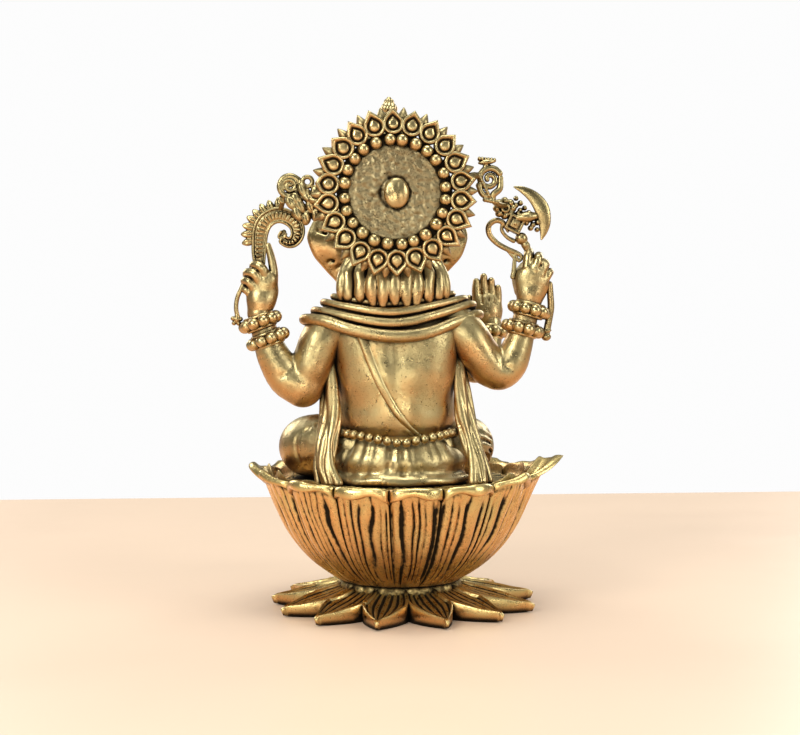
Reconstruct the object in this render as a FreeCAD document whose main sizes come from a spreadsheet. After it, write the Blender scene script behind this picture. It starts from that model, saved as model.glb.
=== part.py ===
"""Cast brass figurine: a seated four-armed, elephant-headed deity on a lotus.

The figure faces -Y, its own left hand is towards +X, and +Z is up. The origin is the lotus
axis on the plane the foot stands on. All lengths are millimetres.
"""
import FreeCAD, Part
import math
import os

import Sketcher

os.makedirs("parts", exist_ok=True)
doc = FreeCAD.newDocument("Figurine")
Vector = FreeCAD.Vector
UP = Vector(0, 0, 1)
BACK = Vector(0, 1, 0)
SIDE = Vector(1, 0, 0)

# ---------------------------------------------------------------- driving dimensions
SIZES = {
    "foot_height": 7.0,         # lotus foot, floor to waist
    "waist_radius": 13.4,       # narrowest part of the lotus
    "foot_reach": 28.6,         # axis to a foot petal's tip
    "foot_tip_thick": 2.8,
    "bowl_top": 27.6,           # height of the bowl's rim
    "bowl_radius": 28.8,        # bowl at its rim, petals included
    "petal_thick": 1.0,
    "petal_reach": 33.4,        # axis to a bowl petal's tip
    "seat_thick": 2.0,
    "seat_radius": 24.6,
    "screw_radius": 1.5,
    "screw_head": 3.0,
    "torso_width": 25.0,
    "torso_depth": 24.0,
    "head_width": 19.0,
    "limb_radius": 4.2,         # upper arm
    "wrist_radius": 2.3,
    "leg_radius": 6.8,          # knee
    "bangle_radius": 3.4,       # centre line of the bangle beads
    "bangle_bead": 1.05,
    "waist_bead": 0.85,
    "halo_field": 12.0,         # radius of the halo's plate
    "halo_thick": 1.6,
    "halo_bead": 1.22,
    "halo_bead_ring": 10.6,
    "halo_petal_ring": 14.0,
    "halo_petal_width": 3.9,
    "halo_petal_length": 5.4,
    "rivet_width": 5.1,
    "rivet_height": 6.0,
    "crown_radius": 8.4,
    "crown_height": 20.5,
    "rod_radius": 0.75,         # handles of the goad and the axe
    "blade_thick": 1.4,
}
FOOT_PETALS = 13
BOWL_PETALS = 14
HALO_BEADS = 24
HALO_PETALS = 22
BANGLE_BEADS = 10
WAIST_BEADS = 38

HEAD = Vector(2.0, -3.0, 75.0)          # the upper body leans 2 mm to its own left
CROWN = Vector(2.2, -1.5, 84.4)
HALO = Vector(2.2, 12.4, 87.5)          # front face of the halo's plate
SEAT_TOP = 27.0
HIP_TOP = 36.5

sheet = doc.addObject("Spreadsheet::Sheet", "Sizes")
for row, (alias, value) in enumerate(SIZES.items(), start=1):
    sheet.set(f"A{row}", alias.replace("_", " "))
    sheet.set(f"B{row}", str(value))
    sheet.setAlias(f"B{row}", alias)
doc.recompute()

nodes = {}


def size(alias):
    """A driving dimension as a number."""
    return float(getattr(sheet, alias))


def node(label, obj):
    """Name an object as a finished sub-part."""
    obj.Label = label
    nodes[label] = obj
    return obj


def direction_to(direction, across=BACK):
    """Rotation that points local Z along direction, with local X as near as may be to across."""
    return FreeCAD.Rotation(across, Vector(), direction, "ZXY")


# ---------------------------------------------------------------- builders
def origin_plane(body, role):
    return next(plane for plane in body.Origin.OriginFeatures if plane.Role == role)


def outline_sketch(body, role, corners):
    """Closed outline of straight sides; each corner is a pair of expressions on the sheet."""
    sketch = body.newObject("Sketcher::SketchObject", body.Name + "_outline")
    sketch.AttachmentSupport = (origin_plane(body, role), [""])
    sketch.MapMode = "FlatFace"
    points = [Vector(sheet.evalExpression(a), sheet.evalExpression(b), 0) for a, b in corners]
    for start, end in zip(points, points[1:] + points[:1]):
        sketch.addGeometry(Part.LineSegment(start, end), False)
    for side in range(len(points)):
        following = (side + 1) % len(points)
        sketch.addConstraint(Sketcher.Constraint("Coincident", side, 2, following, 1))
    for side, (point, pair) in enumerate(zip(points, corners)):
        for kind, axis, value, text in (("DistanceX", -2, point.x, pair[0]),
                                        ("DistanceY", -1, point.y, pair[1])):
            if abs(value) < 1e-9:
                sketch.addConstraint(Sketcher.Constraint("PointOnObject", side, 1, axis))
                continue
            index = sketch.addConstraint(Sketcher.Constraint(kind, -1, 1, side, 1, value))
            sketch.setExpression(f"Constraints[{index}]", text)
    return sketch


def revolved(label, corners, centre=Vector(), rotation=FreeCAD.Rotation()):
    """A turned body: (radius, height) corners revolved about its own Z axis."""
    body = doc.addObject("PartDesign::Body", label + "_body")
    sketch = outline_sketch(body, "XZ_Plane", corners)
    turned = body.newObject("PartDesign::Revolution", label + "_turned")
    turned.Profile = sketch
    turned.ReferenceAxis = (sketch, ["V_Axis"])
    turned.Angle = 360
    body.Placement = FreeCAD.Placement(centre, rotation)
    return node(label, body)


def ball(name, centre, radius):
    sphere = doc.addObject("Part::Sphere", name)
    sphere.setExpression("Radius", radius)
    sphere.Placement.Base = centre
    return sphere


def egg(name, centre, half_sizes, rotation=FreeCAD.Rotation()):
    """Ellipsoid with expressions for its half sizes along X, Y and Z."""
    shape = doc.addObject("Part::Ellipsoid", name)
    for prop, text in zip(("Radius2", "Radius3", "Radius1"), half_sizes):
        shape.setExpression(prop, text)
    shape.Placement = FreeCAD.Placement(centre, rotation)
    return shape


def limb(name, stations):
    """Tapered rounded limb through (point, radius expression) stations."""
    pieces = []
    for number, (point, radius) in enumerate(stations):
        pieces.append(ball(f"{name}_joint{number}", Vector(*point), f"({radius}) * 1.01"))
    for number, (first, second) in enumerate(zip(stations, stations[1:])):
        start, end = Vector(*first[0]), Vector(*second[0])
        cone = doc.addObject("Part::Cone", f"{name}_run{number}")
        cone.setExpression("Radius1", first[1])
        cone.setExpression("Radius2", second[1])
        cone.Height = start.distanceToPoint(end)
        cone.Placement = FreeCAD.Placement(start, direction_to(end - start, Vector(0.3, 1, 0.2)))
        pieces.append(cone)
    whole = doc.addObject("Part::MultiFuse", name)
    whole.Shapes = pieces
    whole.Refine = False
    return whole


def ring_section(name, centre, direction, wide, deep, across=SIDE):
    """Ellipse square to direction, its long half size along across."""
    ring = doc.addObject("Part::Ellipse", name)
    ring.setExpression("MajorRadius", wide)
    ring.setExpression("MinorRadius", deep)
    ring.Placement = FreeCAD.Placement(centre, direction_to(direction, across))
    return ring


def loft(name, rings):
    """Smooth closed solid through a row of ellipses."""
    skin = doc.addObject("Part::Loft", name)
    skin.Sections = rings
    skin.Solid = True
    skin.Ruled = False
    return skin


def strand(name, points, wide, deep, across=BACK, taper=1.0):
    """Band along a gentle run of points, thinning to taper of its size at the far end."""
    places = [Vector(*point) for point in points]
    rings = []
    for number, place in enumerate(places):
        before = places[max(number - 1, 0)]
        after = places[min(number + 1, len(places) - 1)]
        share = 1 + (taper - 1) * number / (len(places) - 1)
        rings.append(ring_section(f"{name}_ring{number}", place, after - before,
                                  f"({wide}) * {share:.3f}", f"({deep}) * {share:.3f}", across))
    return loft(name, rings)


def cut(name, base, tools):
    """Take the neighbours out of a piece, so that they meet face to face."""
    for number, tool in enumerate(tools):
        fitted = doc.addObject("Part::Cut", f"{name}_fit{number}")
        fitted.Base = base
        fitted.Tool = tool
        base = fitted
    return base


def group(label, shapes):
    """A set of like solids that share one node."""
    cluster = doc.addObject("Part::Feature", label + "_group")
    cluster.Shape = Part.makeCompound(shapes)
    return node(label, cluster)


def turned_copies(shape, count, axis, centre=Vector(), start=0.0):
    copies = []
    for number in range(count):
        copy = shape.copy()
        copy.rotate(centre, axis, start + 360.0 * number / count)
        copies.append(copy)
    return copies


# ---------------------------------------------------------------- the lotus
def build_lotus():
    hole = "Sizes.screw_radius"
    revolved("lotus_foot", [
        ("0", "0"), ("Sizes.waist_radius", "0"),
        ("Sizes.waist_radius", "Sizes.foot_height * 0.7"),
        ("Sizes.waist_radius - 0.8", "Sizes.foot_height"),
        (hole, "Sizes.foot_height"), (hole, "2.4"), ("0", "2.4")])

    hub = Part.makeCylinder(size("waist_radius"), size("foot_height"))
    reach = size("foot_reach")
    side = Part.makePolygon([Vector(10, 0, 0), Vector(10, 0, 6.4), Vector(14, 0, 5.6),
                             Vector(20, 0, 3.2), Vector(reach - 2, 0, size("foot_tip_thick")),
                             Vector(reach, 0, 1.6), Vector(reach, 0, 0), Vector(10, 0, 0)])
    slab = Part.Face(side).extrude(Vector(0, 12, 0))
    slab.translate(Vector(0, -6, 0))
    flank = Part.Arc(Vector(10, 2.2, 0), Vector(19.5, 4.4, 0), Vector(reach, 0.01, 0)).toShape()
    other = Part.Arc(Vector(reach, -0.01, 0), Vector(19.5, -4.4, 0), Vector(10, -2.2, 0)).toShape()
    nose = Part.makeLine(Vector(reach, 0.01, 0), Vector(reach, -0.01, 0))
    root = Part.makeLine(Vector(10, -2.2, 0), Vector(10, 2.2, 0))
    leaf = Part.Face(Part.Wire([flank, nose, other, root])).extrude(Vector(0, 0, 10))
    petal = slab.common(leaf).cut(hub)
    group("foot_petals", turned_copies(petal, FOOT_PETALS, UP, start=-8.0))

    rise = [(0.0, 0.0), (0.12, 0.215), (0.34, 0.55), (0.55, 0.72), (0.77, 0.865), (0.89, 0.955),
            (1.0, 1.0)]
    outer = []
    for height, swell in rise:
        radius = f"(Sizes.waist_radius + (Sizes.bowl_radius - Sizes.waist_radius) * {swell}"
        level = f"Sizes.foot_height + (Sizes.bowl_top - Sizes.foot_height) * {height}"
        outer.append((radius + " - Sizes.petal_thick)", level))
    ledge = "Sizes.bowl_top - 0.6 - Sizes.seat_thick"
    inner = [("Sizes.seat_radius", "Sizes.bowl_top"), ("Sizes.seat_radius", ledge),
             ("Sizes.seat_radius - 2", ledge), ("Sizes.seat_radius - 4.6", "17"),
             ("Sizes.seat_radius - 11", "10.4"), (hole, "9.6"), (hole, "Sizes.foot_height")]
    revolved("lotus_bowl", outer + inner)

    wall = [(sheet.evalExpression(a), sheet.evalExpression(b)) for a, b in outer]
    thick = size("petal_thick")
    tip = size("petal_reach")
    top = size("bowl_top")
    section = [Vector(r, 0, z) for r, z in wall]
    section += [Vector(tip, 0, top + 3.4), Vector(tip, 0, top + 2.5), Vector(wall[-1][0] + 1.6, 0, top - 0.4)]
    section += [Vector(r + thick, 0, z) for r, z in reversed(wall[:-1])]
    shell = Part.Face(Part.makePolygon(section + section[:1]))
    half_pitch = 180.0 / BOWL_PETALS - 0.4
    shell.rotate(Vector(), UP, -half_pitch)
    shell = shell.revolve(Vector(), UP, 2 * half_pitch)
    shoulder = Vector(27.4 * math.cos(math.radians(20)), 27.4 * math.sin(math.radians(20)), 0)
    curve = Part.Arc(shoulder, Vector(30.6, 5.6, 0), Vector(tip, 0.2, 0)).toShape()
    mirror = Part.Arc(Vector(tip, -0.2, 0), Vector(30.6, -5.6, 0),
                      Vector(shoulder.x, -shoulder.y, 0)).toShape()
    plan = Part.Wire([Part.makeLine(Vector(), shoulder), curve,
                      Part.makeLine(Vector(tip, 0.2, 0), Vector(tip, -0.2, 0)), mirror,
                      Part.makeLine(Vector(shoulder.x, -shoulder.y, 0), Vector())])
    trimmed = shell.common(Part.Face(plan).extrude(Vector(0, 0, 40)))
    group("bowl_petals", turned_copies(trimmed, BOWL_PETALS, UP))

    revolved("lotus_seat", [
        (hole, ledge), ("Sizes.seat_radius", ledge),
        ("Sizes.seat_radius", ledge + " + Sizes.seat_thick"),
        (hole, ledge + " + Sizes.seat_thick")])
    revolved("lotus_washer", [
        (hole, "27"), ("Sizes.screw_head + 0.8", "27"), ("Sizes.screw_head + 0.8", "27.6"),
        (hole, "27.6")])
    revolved("lotus_screw", [
        ("0", "2.4"), (hole, "2.4"), (hole, "27.6"), ("Sizes.screw_head", "27.6"),
        ("Sizes.screw_head", "29"), ("Sizes.screw_head - 0.6", "29.8"), ("0", "29.8")])


# ---------------------------------------------------------------- the body
def build_body():
    rings = []
    for level, wide, deep, middle in ((SEAT_TOP, 0.54, 0.46, 1.5), (29.5, 0.59, 0.50, 1.5),
                                      (33.0, 0.57, 0.50, 0.8), (HIP_TOP, 0.50, 0.46, 0.2)):
        rings.append(ring_section("hip_ring", Vector(0.6, middle, level), UP,
                                  f"Sizes.torso_width * {wide}", f"Sizes.torso_depth * {deep}"))
    pocket = doc.addObject("Part::Cylinder", "hip_pocket")
    pocket.setExpression("Radius", "Sizes.screw_head + 1.2")
    pocket.Height = 4.0
    pocket.Placement.Base = Vector(0, 0, SEAT_TOP)
    hips = node("draped_hips", cut("draped_hips", loft("hips", rings), [pocket]))

    rings = []
    for level, wide, deep, middle, lean in (
            (HIP_TOP, 0.50, 0.46, 0.2, 0.6), (42.0, 0.500, 0.495, -1.0, 0.8),
            (48.0, 0.490, 0.48, -0.8, 1.0), (54.0, 0.510, 0.44, 0.0, 1.2),
            (59.0, 0.530, 0.37, 1.4, 1.4), (63.5, 0.40, 0.30, 1.0, 1.6), (67.0, 0.28, 0.24, -1.0, 1.8)):
        rings.append(ring_section("torso_ring", Vector(lean, middle, level), UP,
                                  f"Sizes.torso_width * {wide}", f"Sizes.torso_depth * {deep}"))
    torso = node("torso", loft("torso_skin", rings))

    legs = {}
    for side, label, knee, shin, ankle, toes in (
            (1, "leg_left", (19.0, -6.0, 34.0), (10.0, -16.0, 31.9), (0.5, -18.6, 30.6), (-7.5, -18.6, 29.6)),
            (-1, "leg_right", (-14.6, -6.0, 33.8), (-8.0, -11.6, 31.9), (1.5, -12.4, 30.2), (6.0, -11.6, 29.8))):
        whole = limb(label + "_form", [
            ((11.6 * side, 0.0, 34.0), "Sizes.leg_radius"), (knee, "Sizes.leg_radius * 0.97"),
            (shin, "Sizes.leg_radius * 0.70"), (ankle, "Sizes.leg_radius * 0.50"),
            (toes, "Sizes.leg_radius * 0.36")])
        legs[label] = whole
    right = node("leg_right", cut("leg_right", legs["leg_right"], [hips, torso]))
    node("leg_left", cut("leg_left", legs["leg_left"], [hips, torso, right]))
    return hips, torso


def surface_y(torso, x, z, back=True):
    """Y of the torso's skin at a side position and a height."""
    line = Part.makeLine(Vector(x, -40, z), Vector(x, 40, z))
    hits = torso.Shape.common(line).Vertexes
    values = [vertex.Y for vertex in hits]
    return max(values) if back else min(values)


def build_dress(hips, torso):
    doc.recompute()
    beads = []
    for number in range(WAIST_BEADS):
        turn = 2 * math.pi * number / WAIST_BEADS
        bead = Part.makeSphere(size("waist_bead"))
        gap = size("waist_bead") + 0.1
        bead.translate(Vector(0.6 + (size("torso_width") * 0.5 + gap) * math.cos(turn),
                              0.1 + (size("torso_depth") * 0.465 + gap) * math.sin(turn),
                              HIP_TOP + 1.2 - 0.9 * math.sin(turn)))
        beads.append(bead)
    group("waist_beads", beads)

    route = []
    for x, z in ((9.1, 58.4), (7.7, 54.8), (5.7, 50.0), (3.3, 45.1), (1.4, 42.0), (-0.6, 39.6)):
        route.append((x, surface_y(torso, x, z), z))
    thread = strand("thread_band", route, "1.0", "0.55", across=SIDE)
    node("sacred_thread", cut("sacred_thread", thread, [torso]))

    route = []
    for x, z in ((-8.6, 58.6), (-6.0, 55.6), (-2.0, 53.2), (2.0, 52.6), (6.0, 53.4), (9.4, 55.6), (11.4, 58.6)):
        route.append((x, surface_y(torso, x, z, back=False) - 0.2, z))
    chain = strand("necklace_band", route, "1.3", "1.0", across=BACK)
    node("necklace", cut("necklace", chain, [torso]))

    roll = strand("collar_roll", [
        (21.0, 1.0, 62.0), (17.6, 4.4, 62.6), (11.5, 8.2, 62.0), (6.0, 10.0, 61.2), (0.5, 10.6, 60.8),
        (-5.0, 10.0, 61.2), (-10.0, 8.2, 62.4), (-14.6, 4.6, 63.4), (-17.6, 1.2, 62.8)], "3.7", "2.3", across=UP)
    return roll


# ---------------------------------------------------------------- arms, hands and bangles
ARMS = {
    "rear_arm_left": [(16.0, 3.6, 58.4), (18.7, 4.5, 52.8), (21.6, 4.5, 49.0), (26.2, 4.5, 52.0),
                      (28.6, 4.5, 57.6), (30.2, 4.5, 62.4)],
    "rear_arm_right": [(-13.2, 3.6, 58.8), (-15.9, 4.5, 54.3), (-19.7, 4.5, 50.8), (-23.9, 4.5, 52.8),
                       (-25.7, 4.5, 58.4), (-27.1, 4.5, 64.6)],
    "front_arm_left": [(15.0, -1.5, 56.8), (18.8, -5.5, 50.6), (20.4, -9.0, 46.6), (18.0, -13.0, 47.4),
                       (15.2, -16.4, 49.2), (13.4, -18.6, 50.6)],
    "front_arm_right": [(-12.4, -1.5, 57.2), (-16.2, -5.5, 51.4), (-18.6, -8.6, 47.6), (-20.2, -11.0, 50.6),
                        (-21.6, -13.2, 56.0), (-21.9, -13.8, 60.6)],
}
ARM_TAPER = (1.0, 1.0, 1.02, 0.80)      # shares of the upper arm's radius, shoulder to forearm


def build_arms(torso, collar, hips):
    arms = {}
    for label, points in ARMS.items():
        thinner = 0.82 if label.startswith("front") else 1.0
        radii = [f"Sizes.limb_radius * {share * thinner:.3f}" for share in ARM_TAPER]
        radii += ["Sizes.wrist_radius * 1.01", "Sizes.wrist_radius * 0.98"]
        arms[label] = limb(label + "_form", list(zip(points, radii)))
    fitted = {}
    for side in ("left", "right"):
        rear = node(f"rear_arm_{side}", cut(f"rear_arm_{side}", arms[f"rear_arm_{side}"], [torso, collar]))
        front = node(f"front_arm_{side}", cut(f"front_arm_{side}", arms[f"front_arm_{side}"],
                                              [torso, collar, arms[f"rear_arm_{side}"],
                                               nodes[f"leg_{side}"]]))
        fitted[f"rear_{side}"] = rear
        fitted[f"front_{side}"] = front
    node("shawl_collar", cut("shawl_collar", collar, [torso]))

    strips = {
        "shawl_end_left": [(15.0, 8.6, 53.0), (14.5, 9.2, 46.0), (15.1, 9.8, 38.4), (16.2, 9.6, 32.3), (14.6, 10.2, 27.6)],
        "shawl_end_right": [(-11.2, 8.6, 53.0), (-11.8, 9.0, 46.9), (-12.8, 9.4, 40.1), (-14.6, 9.2, 33.3),
                            (-15.1, 9.8, 27.6)],
    }
    for label, route in strips.items():
        strip = strand(label + "_band", route, "1.5", "0.8", across=SIDE)
        side = label.rsplit("_", 1)[1]
        node(label, cut(label, strip, [torso, hips, arms[f"rear_arm_{side}"], nodes[f"leg_{side}"]]))
    return arms


def bangle(label, centre, axis):
    """Ring of round beads threaded round a wrist."""
    turn = direction_to(axis)
    beads = []
    for number in range(BANGLE_BEADS):
        angle = 2 * math.pi * (number + 0.5) / BANGLE_BEADS
        arm = Vector(math.cos(angle), math.sin(angle), 0) * size("bangle_radius")
        beads.append(Part.makeSphere(size("bangle_bead"), centre + turn.multVec(arm)))
    return group(label, beads)


def build_bangles():
    bangle("rear_left_lower_bangle", Vector(28.5, 4.5, 57.4), Vector(0.30, 0, 0.95))
    bangle("rear_left_upper_bangle", Vector(29.8, 4.5, 61.2), Vector(0.32, 0, 0.95))
    bangle("rear_right_lower_bangle", Vector(-25.9, 4.5, 59.2), Vector(-0.22, 0, 0.97))
    bangle("rear_right_upper_bangle", Vector(-26.8, 4.5, 63.2), Vector(-0.22, 0, 0.97))
    bangle("front_left_bangle", Vector(14.7, -17.0, 49.5), Vector(-0.58, -0.70, 0.44))
    bangle("front_right_bangle", Vector(-21.8, -13.6, 58.4), Vector(-0.06, -0.12, 0.99))


def hand(name, rings, across):
    """Hand as a smooth form: (centre, half width, half thickness) from wrist to fingertips."""
    places = [Vector(*centre) for centre, wide, deep in rings]
    sections = []
    for number, (centre, wide, deep) in enumerate(rings):
        before = places[max(number - 1, 0)]
        after = places[min(number + 1, len(places) - 1)]
        sections.append(ring_section(f"{name}_ring{number}", places[number], after - before,
                                     f"{wide}", f"{deep}", across))
    return loft(name, sections)


def build_hands(arms, goad_handle, axe_shaft):
    left = hand("rear_fist_left", [((30.2, 4.5, 63.0), 2.5, 2.2), ((29.7, 4.5, 66.0), 3.5, 2.3),
                                   ((29.4, 4.5, 69.6), 3.7, 2.9), ((29.2, 4.5, 72.6), 2.6, 2.4)], SIDE)
    node("rear_hand_left", cut("rear_hand_left", left, [arms["rear_arm_left"], goad_handle]))
    right = hand("rear_fist_right", [((-27.2, 4.5, 65.2), 2.5, 2.2), ((-27.6, 4.5, 67.6), 3.5, 2.3),
                                     ((-28.0, 4.5, 71.0), 3.7, 2.9), ((-28.2, 4.5, 74.2), 2.6, 2.4)], SIDE)
    node("rear_hand_right", cut("rear_hand_right", right, [arms["rear_arm_right"], axe_shaft]))
    palm = hand("raised_palm", [((-21.9, -13.9, 61.2), 2.4, 2.0), ((-21.2, -14.1, 63.8), 3.0, 1.6),
                                ((-20.8, -14.2, 66.4), 3.0, 1.3), ((-20.4, -14.2, 71.4), 1.8, 0.7)], SIDE)
    node("front_hand_right", cut("front_hand_right", palm, [arms["front_arm_right"]]))
    cup = hand("cupped_hand", [((13.2, -18.8, 50.8), 2.4, 1.9), ((11.2, -20.0, 51.2), 2.9, 1.5),
                               ((9.0, -20.8, 51.3), 3.0, 1.3), ((5.8, -21.4, 52.0), 2.2, 0.8)], Vector(0.5, -0.8, 0))
    return node("front_hand_left", cut("front_hand_left", cup, [arms["front_arm_left"]]))


# ---------------------------------------------------------------- head and crown
def build_head(torso, collar):
    half = "Sizes.head_width * 0.5"
    skull = egg("skull", HEAD, (half, "Sizes.head_width * 0.46", half))
    head = node("elephant_head", cut("elephant_head", skull, [torso]))
    trunk = limb("trunk_form", [
        ((2.0, -9.6, 73.4), "4.3"), ((1.6, -13.8, 68.6), "3.5"), ((1.0, -16.8, 62.6), "3.0"),
        ((1.4, -18.6, 57.6), "2.5"), ((4.2, -20.0, 55.0), "2.1"), ((7.4, -20.6, 55.6), "1.7")])
    node("trunk", cut("trunk", trunk, [head, nodes["necklace"]]))
    for side, label, length in ((1, "tusk_left", 6.4), (-1, "tusk_right", 3.4)):
        tusk = doc.addObject("Part::Cone", label + "_form")
        tusk.Radius1 = 1.2
        tusk.Radius2 = 0.35
        tusk.Height = length + 2
        tusk.Placement = FreeCAD.Placement(Vector(2.0 + 5.6 * side, -8.4, 71.4),
                                           direction_to(Vector(0.35 * side, -1, -0.45)))
        node(label, cut(label, tusk, [head, nodes["trunk"]]))
    for label, centre, tilt, facing in (("ear_left", Vector(13.6, -2.4, 77.2), 14, 0),
                                        ("ear_right", Vector(-9.2, -2.4, 77.0), -14, 180)):
        turn = FreeCAD.Rotation(Vector(0, 1, 0), tilt) * FreeCAD.Rotation(UP, facing)
        flap = egg(label + "_form", centre, ("6.0", "1.5", "8.0"), turn)
        node(label, cut(label, flap, [head]))
    locks = []
    for number in range(9):
        bend = (number - 4) * 0.27
        centre = Vector(2.0 + 10.3 * math.sin(bend), -3.2 + 11.6 * math.cos(bend), 68.4)
        lock = egg(f"lock{number}", centre, ("1.25", "1.25", "3.9"))
        locks.append(lock)
    doc.recompute()
    solids = [lock.Shape.cut(head.Shape).cut(collar.Shape) for lock in locks]
    group("hair_locks", solids)
    return head


def build_crown(head):
    wide = "Sizes.crown_radius"
    band = revolved("crown_band_ring", [
        ("Sizes.crown_radius - 4", "-4"), (wide, "-4"), ("Sizes.crown_radius + 0.7", "-2"), (wide, "0"),
        ("Sizes.crown_radius - 4", "0")], CROWN)
    nodes.pop("crown_band_ring")
    node("crown_band", cut("crown_band", band, [head]))
    band.Label = "crown_band_ring"
    tiers = [("0", "0.12"), (wide + " * 0.97", "0.12")]
    for share, radius in ((0.22, 0.98), (0.24, 0.84), (0.46, 0.80), (0.48, 0.64), (0.68, 0.54), (0.70, 0.42),
                          (0.92, 0.26), (1.0, 0.22)):
        tiers.append((f"{wide} * {radius}", f"Sizes.crown_height * {share}"))
    tiers.append(("0", "Sizes.crown_height"))
    crown = revolved("crown_cone", tiers, CROWN)
    revolved("crown_finial", [
        ("0", "0"), ("1.3", "0"), ("1.9", "1.2"), ("1.3", "2.3"), ("0.5", "3.8"), ("0", "4.3")],
        CROWN + UP * size("crown_height"))
    return crown


# ---------------------------------------------------------------- halo
def teardrop(width, length, thick):
    """Pointed petal plate: round end on the origin, point along +Z, thickness along +Y."""
    radius = width / 2
    lean = math.asin(radius / (length - radius))
    touch = Vector(radius * math.cos(lean), 0, radius * math.sin(lean))
    bottom = Part.Arc(Vector(-touch.x, 0, touch.z), Vector(0, 0, -radius), touch).toShape()
    tip = Vector(0, 0, length - radius)
    right = Part.makeLine(touch, tip)
    left = Part.makeLine(tip, Vector(-touch.x, 0, touch.z))
    return Part.Face(Part.Wire([bottom, right, left])).extrude(Vector(0, thick, 0))


def build_halo(crown):
    plate = doc.addObject("PartDesign::Body", "halo_disc_body")
    face = plate.newObject("Sketcher::SketchObject", "halo_disc_outline")
    face.AttachmentSupport = (origin_plane(plate, "XY_Plane"), [""])
    face.MapMode = "FlatFace"
    rim = face.addGeometry(Part.Circle(Vector(), UP, size("halo_field")), False)
    face.addConstraint(Sketcher.Constraint("Coincident", rim, 3, -1, 1))
    number = face.addConstraint(Sketcher.Constraint("Radius", rim, size("halo_field")))
    face.setExpression(f"Constraints[{number}]", "Sizes.halo_field")
    pad = plate.newObject("PartDesign::Pad", "halo_disc_pad")
    pad.Profile = face
    pad.setExpression("Length", "Sizes.halo_thick")
    plate.Placement = FreeCAD.Placement(HALO, direction_to(BACK, SIDE))

    shank = doc.addObject("Part::Cylinder", "rivet_shank")
    shank.Radius = 1.6
    shank.Height = HALO.y + size("halo_thick") - 2.0
    shank.Placement = FreeCAD.Placement(Vector(HALO.x, 2.0, HALO.z), direction_to(BACK, SIDE))
    boss = egg("rivet_boss", HALO + BACK * size("halo_thick"),
               ("Sizes.rivet_width * 0.5", "0.9", "Sizes.rivet_height * 0.5"))
    whole = doc.addObject("Part::Fuse", "rivet_whole")
    whole.Base = boss
    whole.Tool = shank
    hole = doc.addObject("Part::Cut", "halo_disc_hole")
    hole.Base = plate
    hole.Tool = whole
    plate.Label = "halo_disc_blank"
    node("halo_disc", hole)
    node("halo_rivet", cut("halo_rivet", whole, [crown]))

    back = HALO + BACK * size("halo_thick")
    dome = Part.makeSphere(size("halo_bead"), Vector(), BACK, 0, 90, 360)
    dome.translate(back + UP * size("halo_bead_ring"))
    group("halo_beads", turned_copies(dome, HALO_BEADS, BACK, back))

    thick = size("halo_thick")
    petal = teardrop(size("halo_petal_width"), size("halo_petal_length"), thick)
    petal.translate(HALO + UP * size("halo_petal_ring"))
    disc = Part.makeCylinder(size("halo_field"), thick, HALO, BACK)
    petals = turned_copies(petal.cut(disc), HALO_PETALS, BACK, HALO)
    group("halo_petals", petals)
    point = teardrop(2.4, 4.0, 1.2)
    point.translate(HALO + UP * (size("halo_petal_ring") + 0.6) - BACK * 1.2)
    group("halo_points", turned_copies(point, HALO_PETALS, BACK, HALO, start=180.0 / HALO_PETALS))


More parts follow.
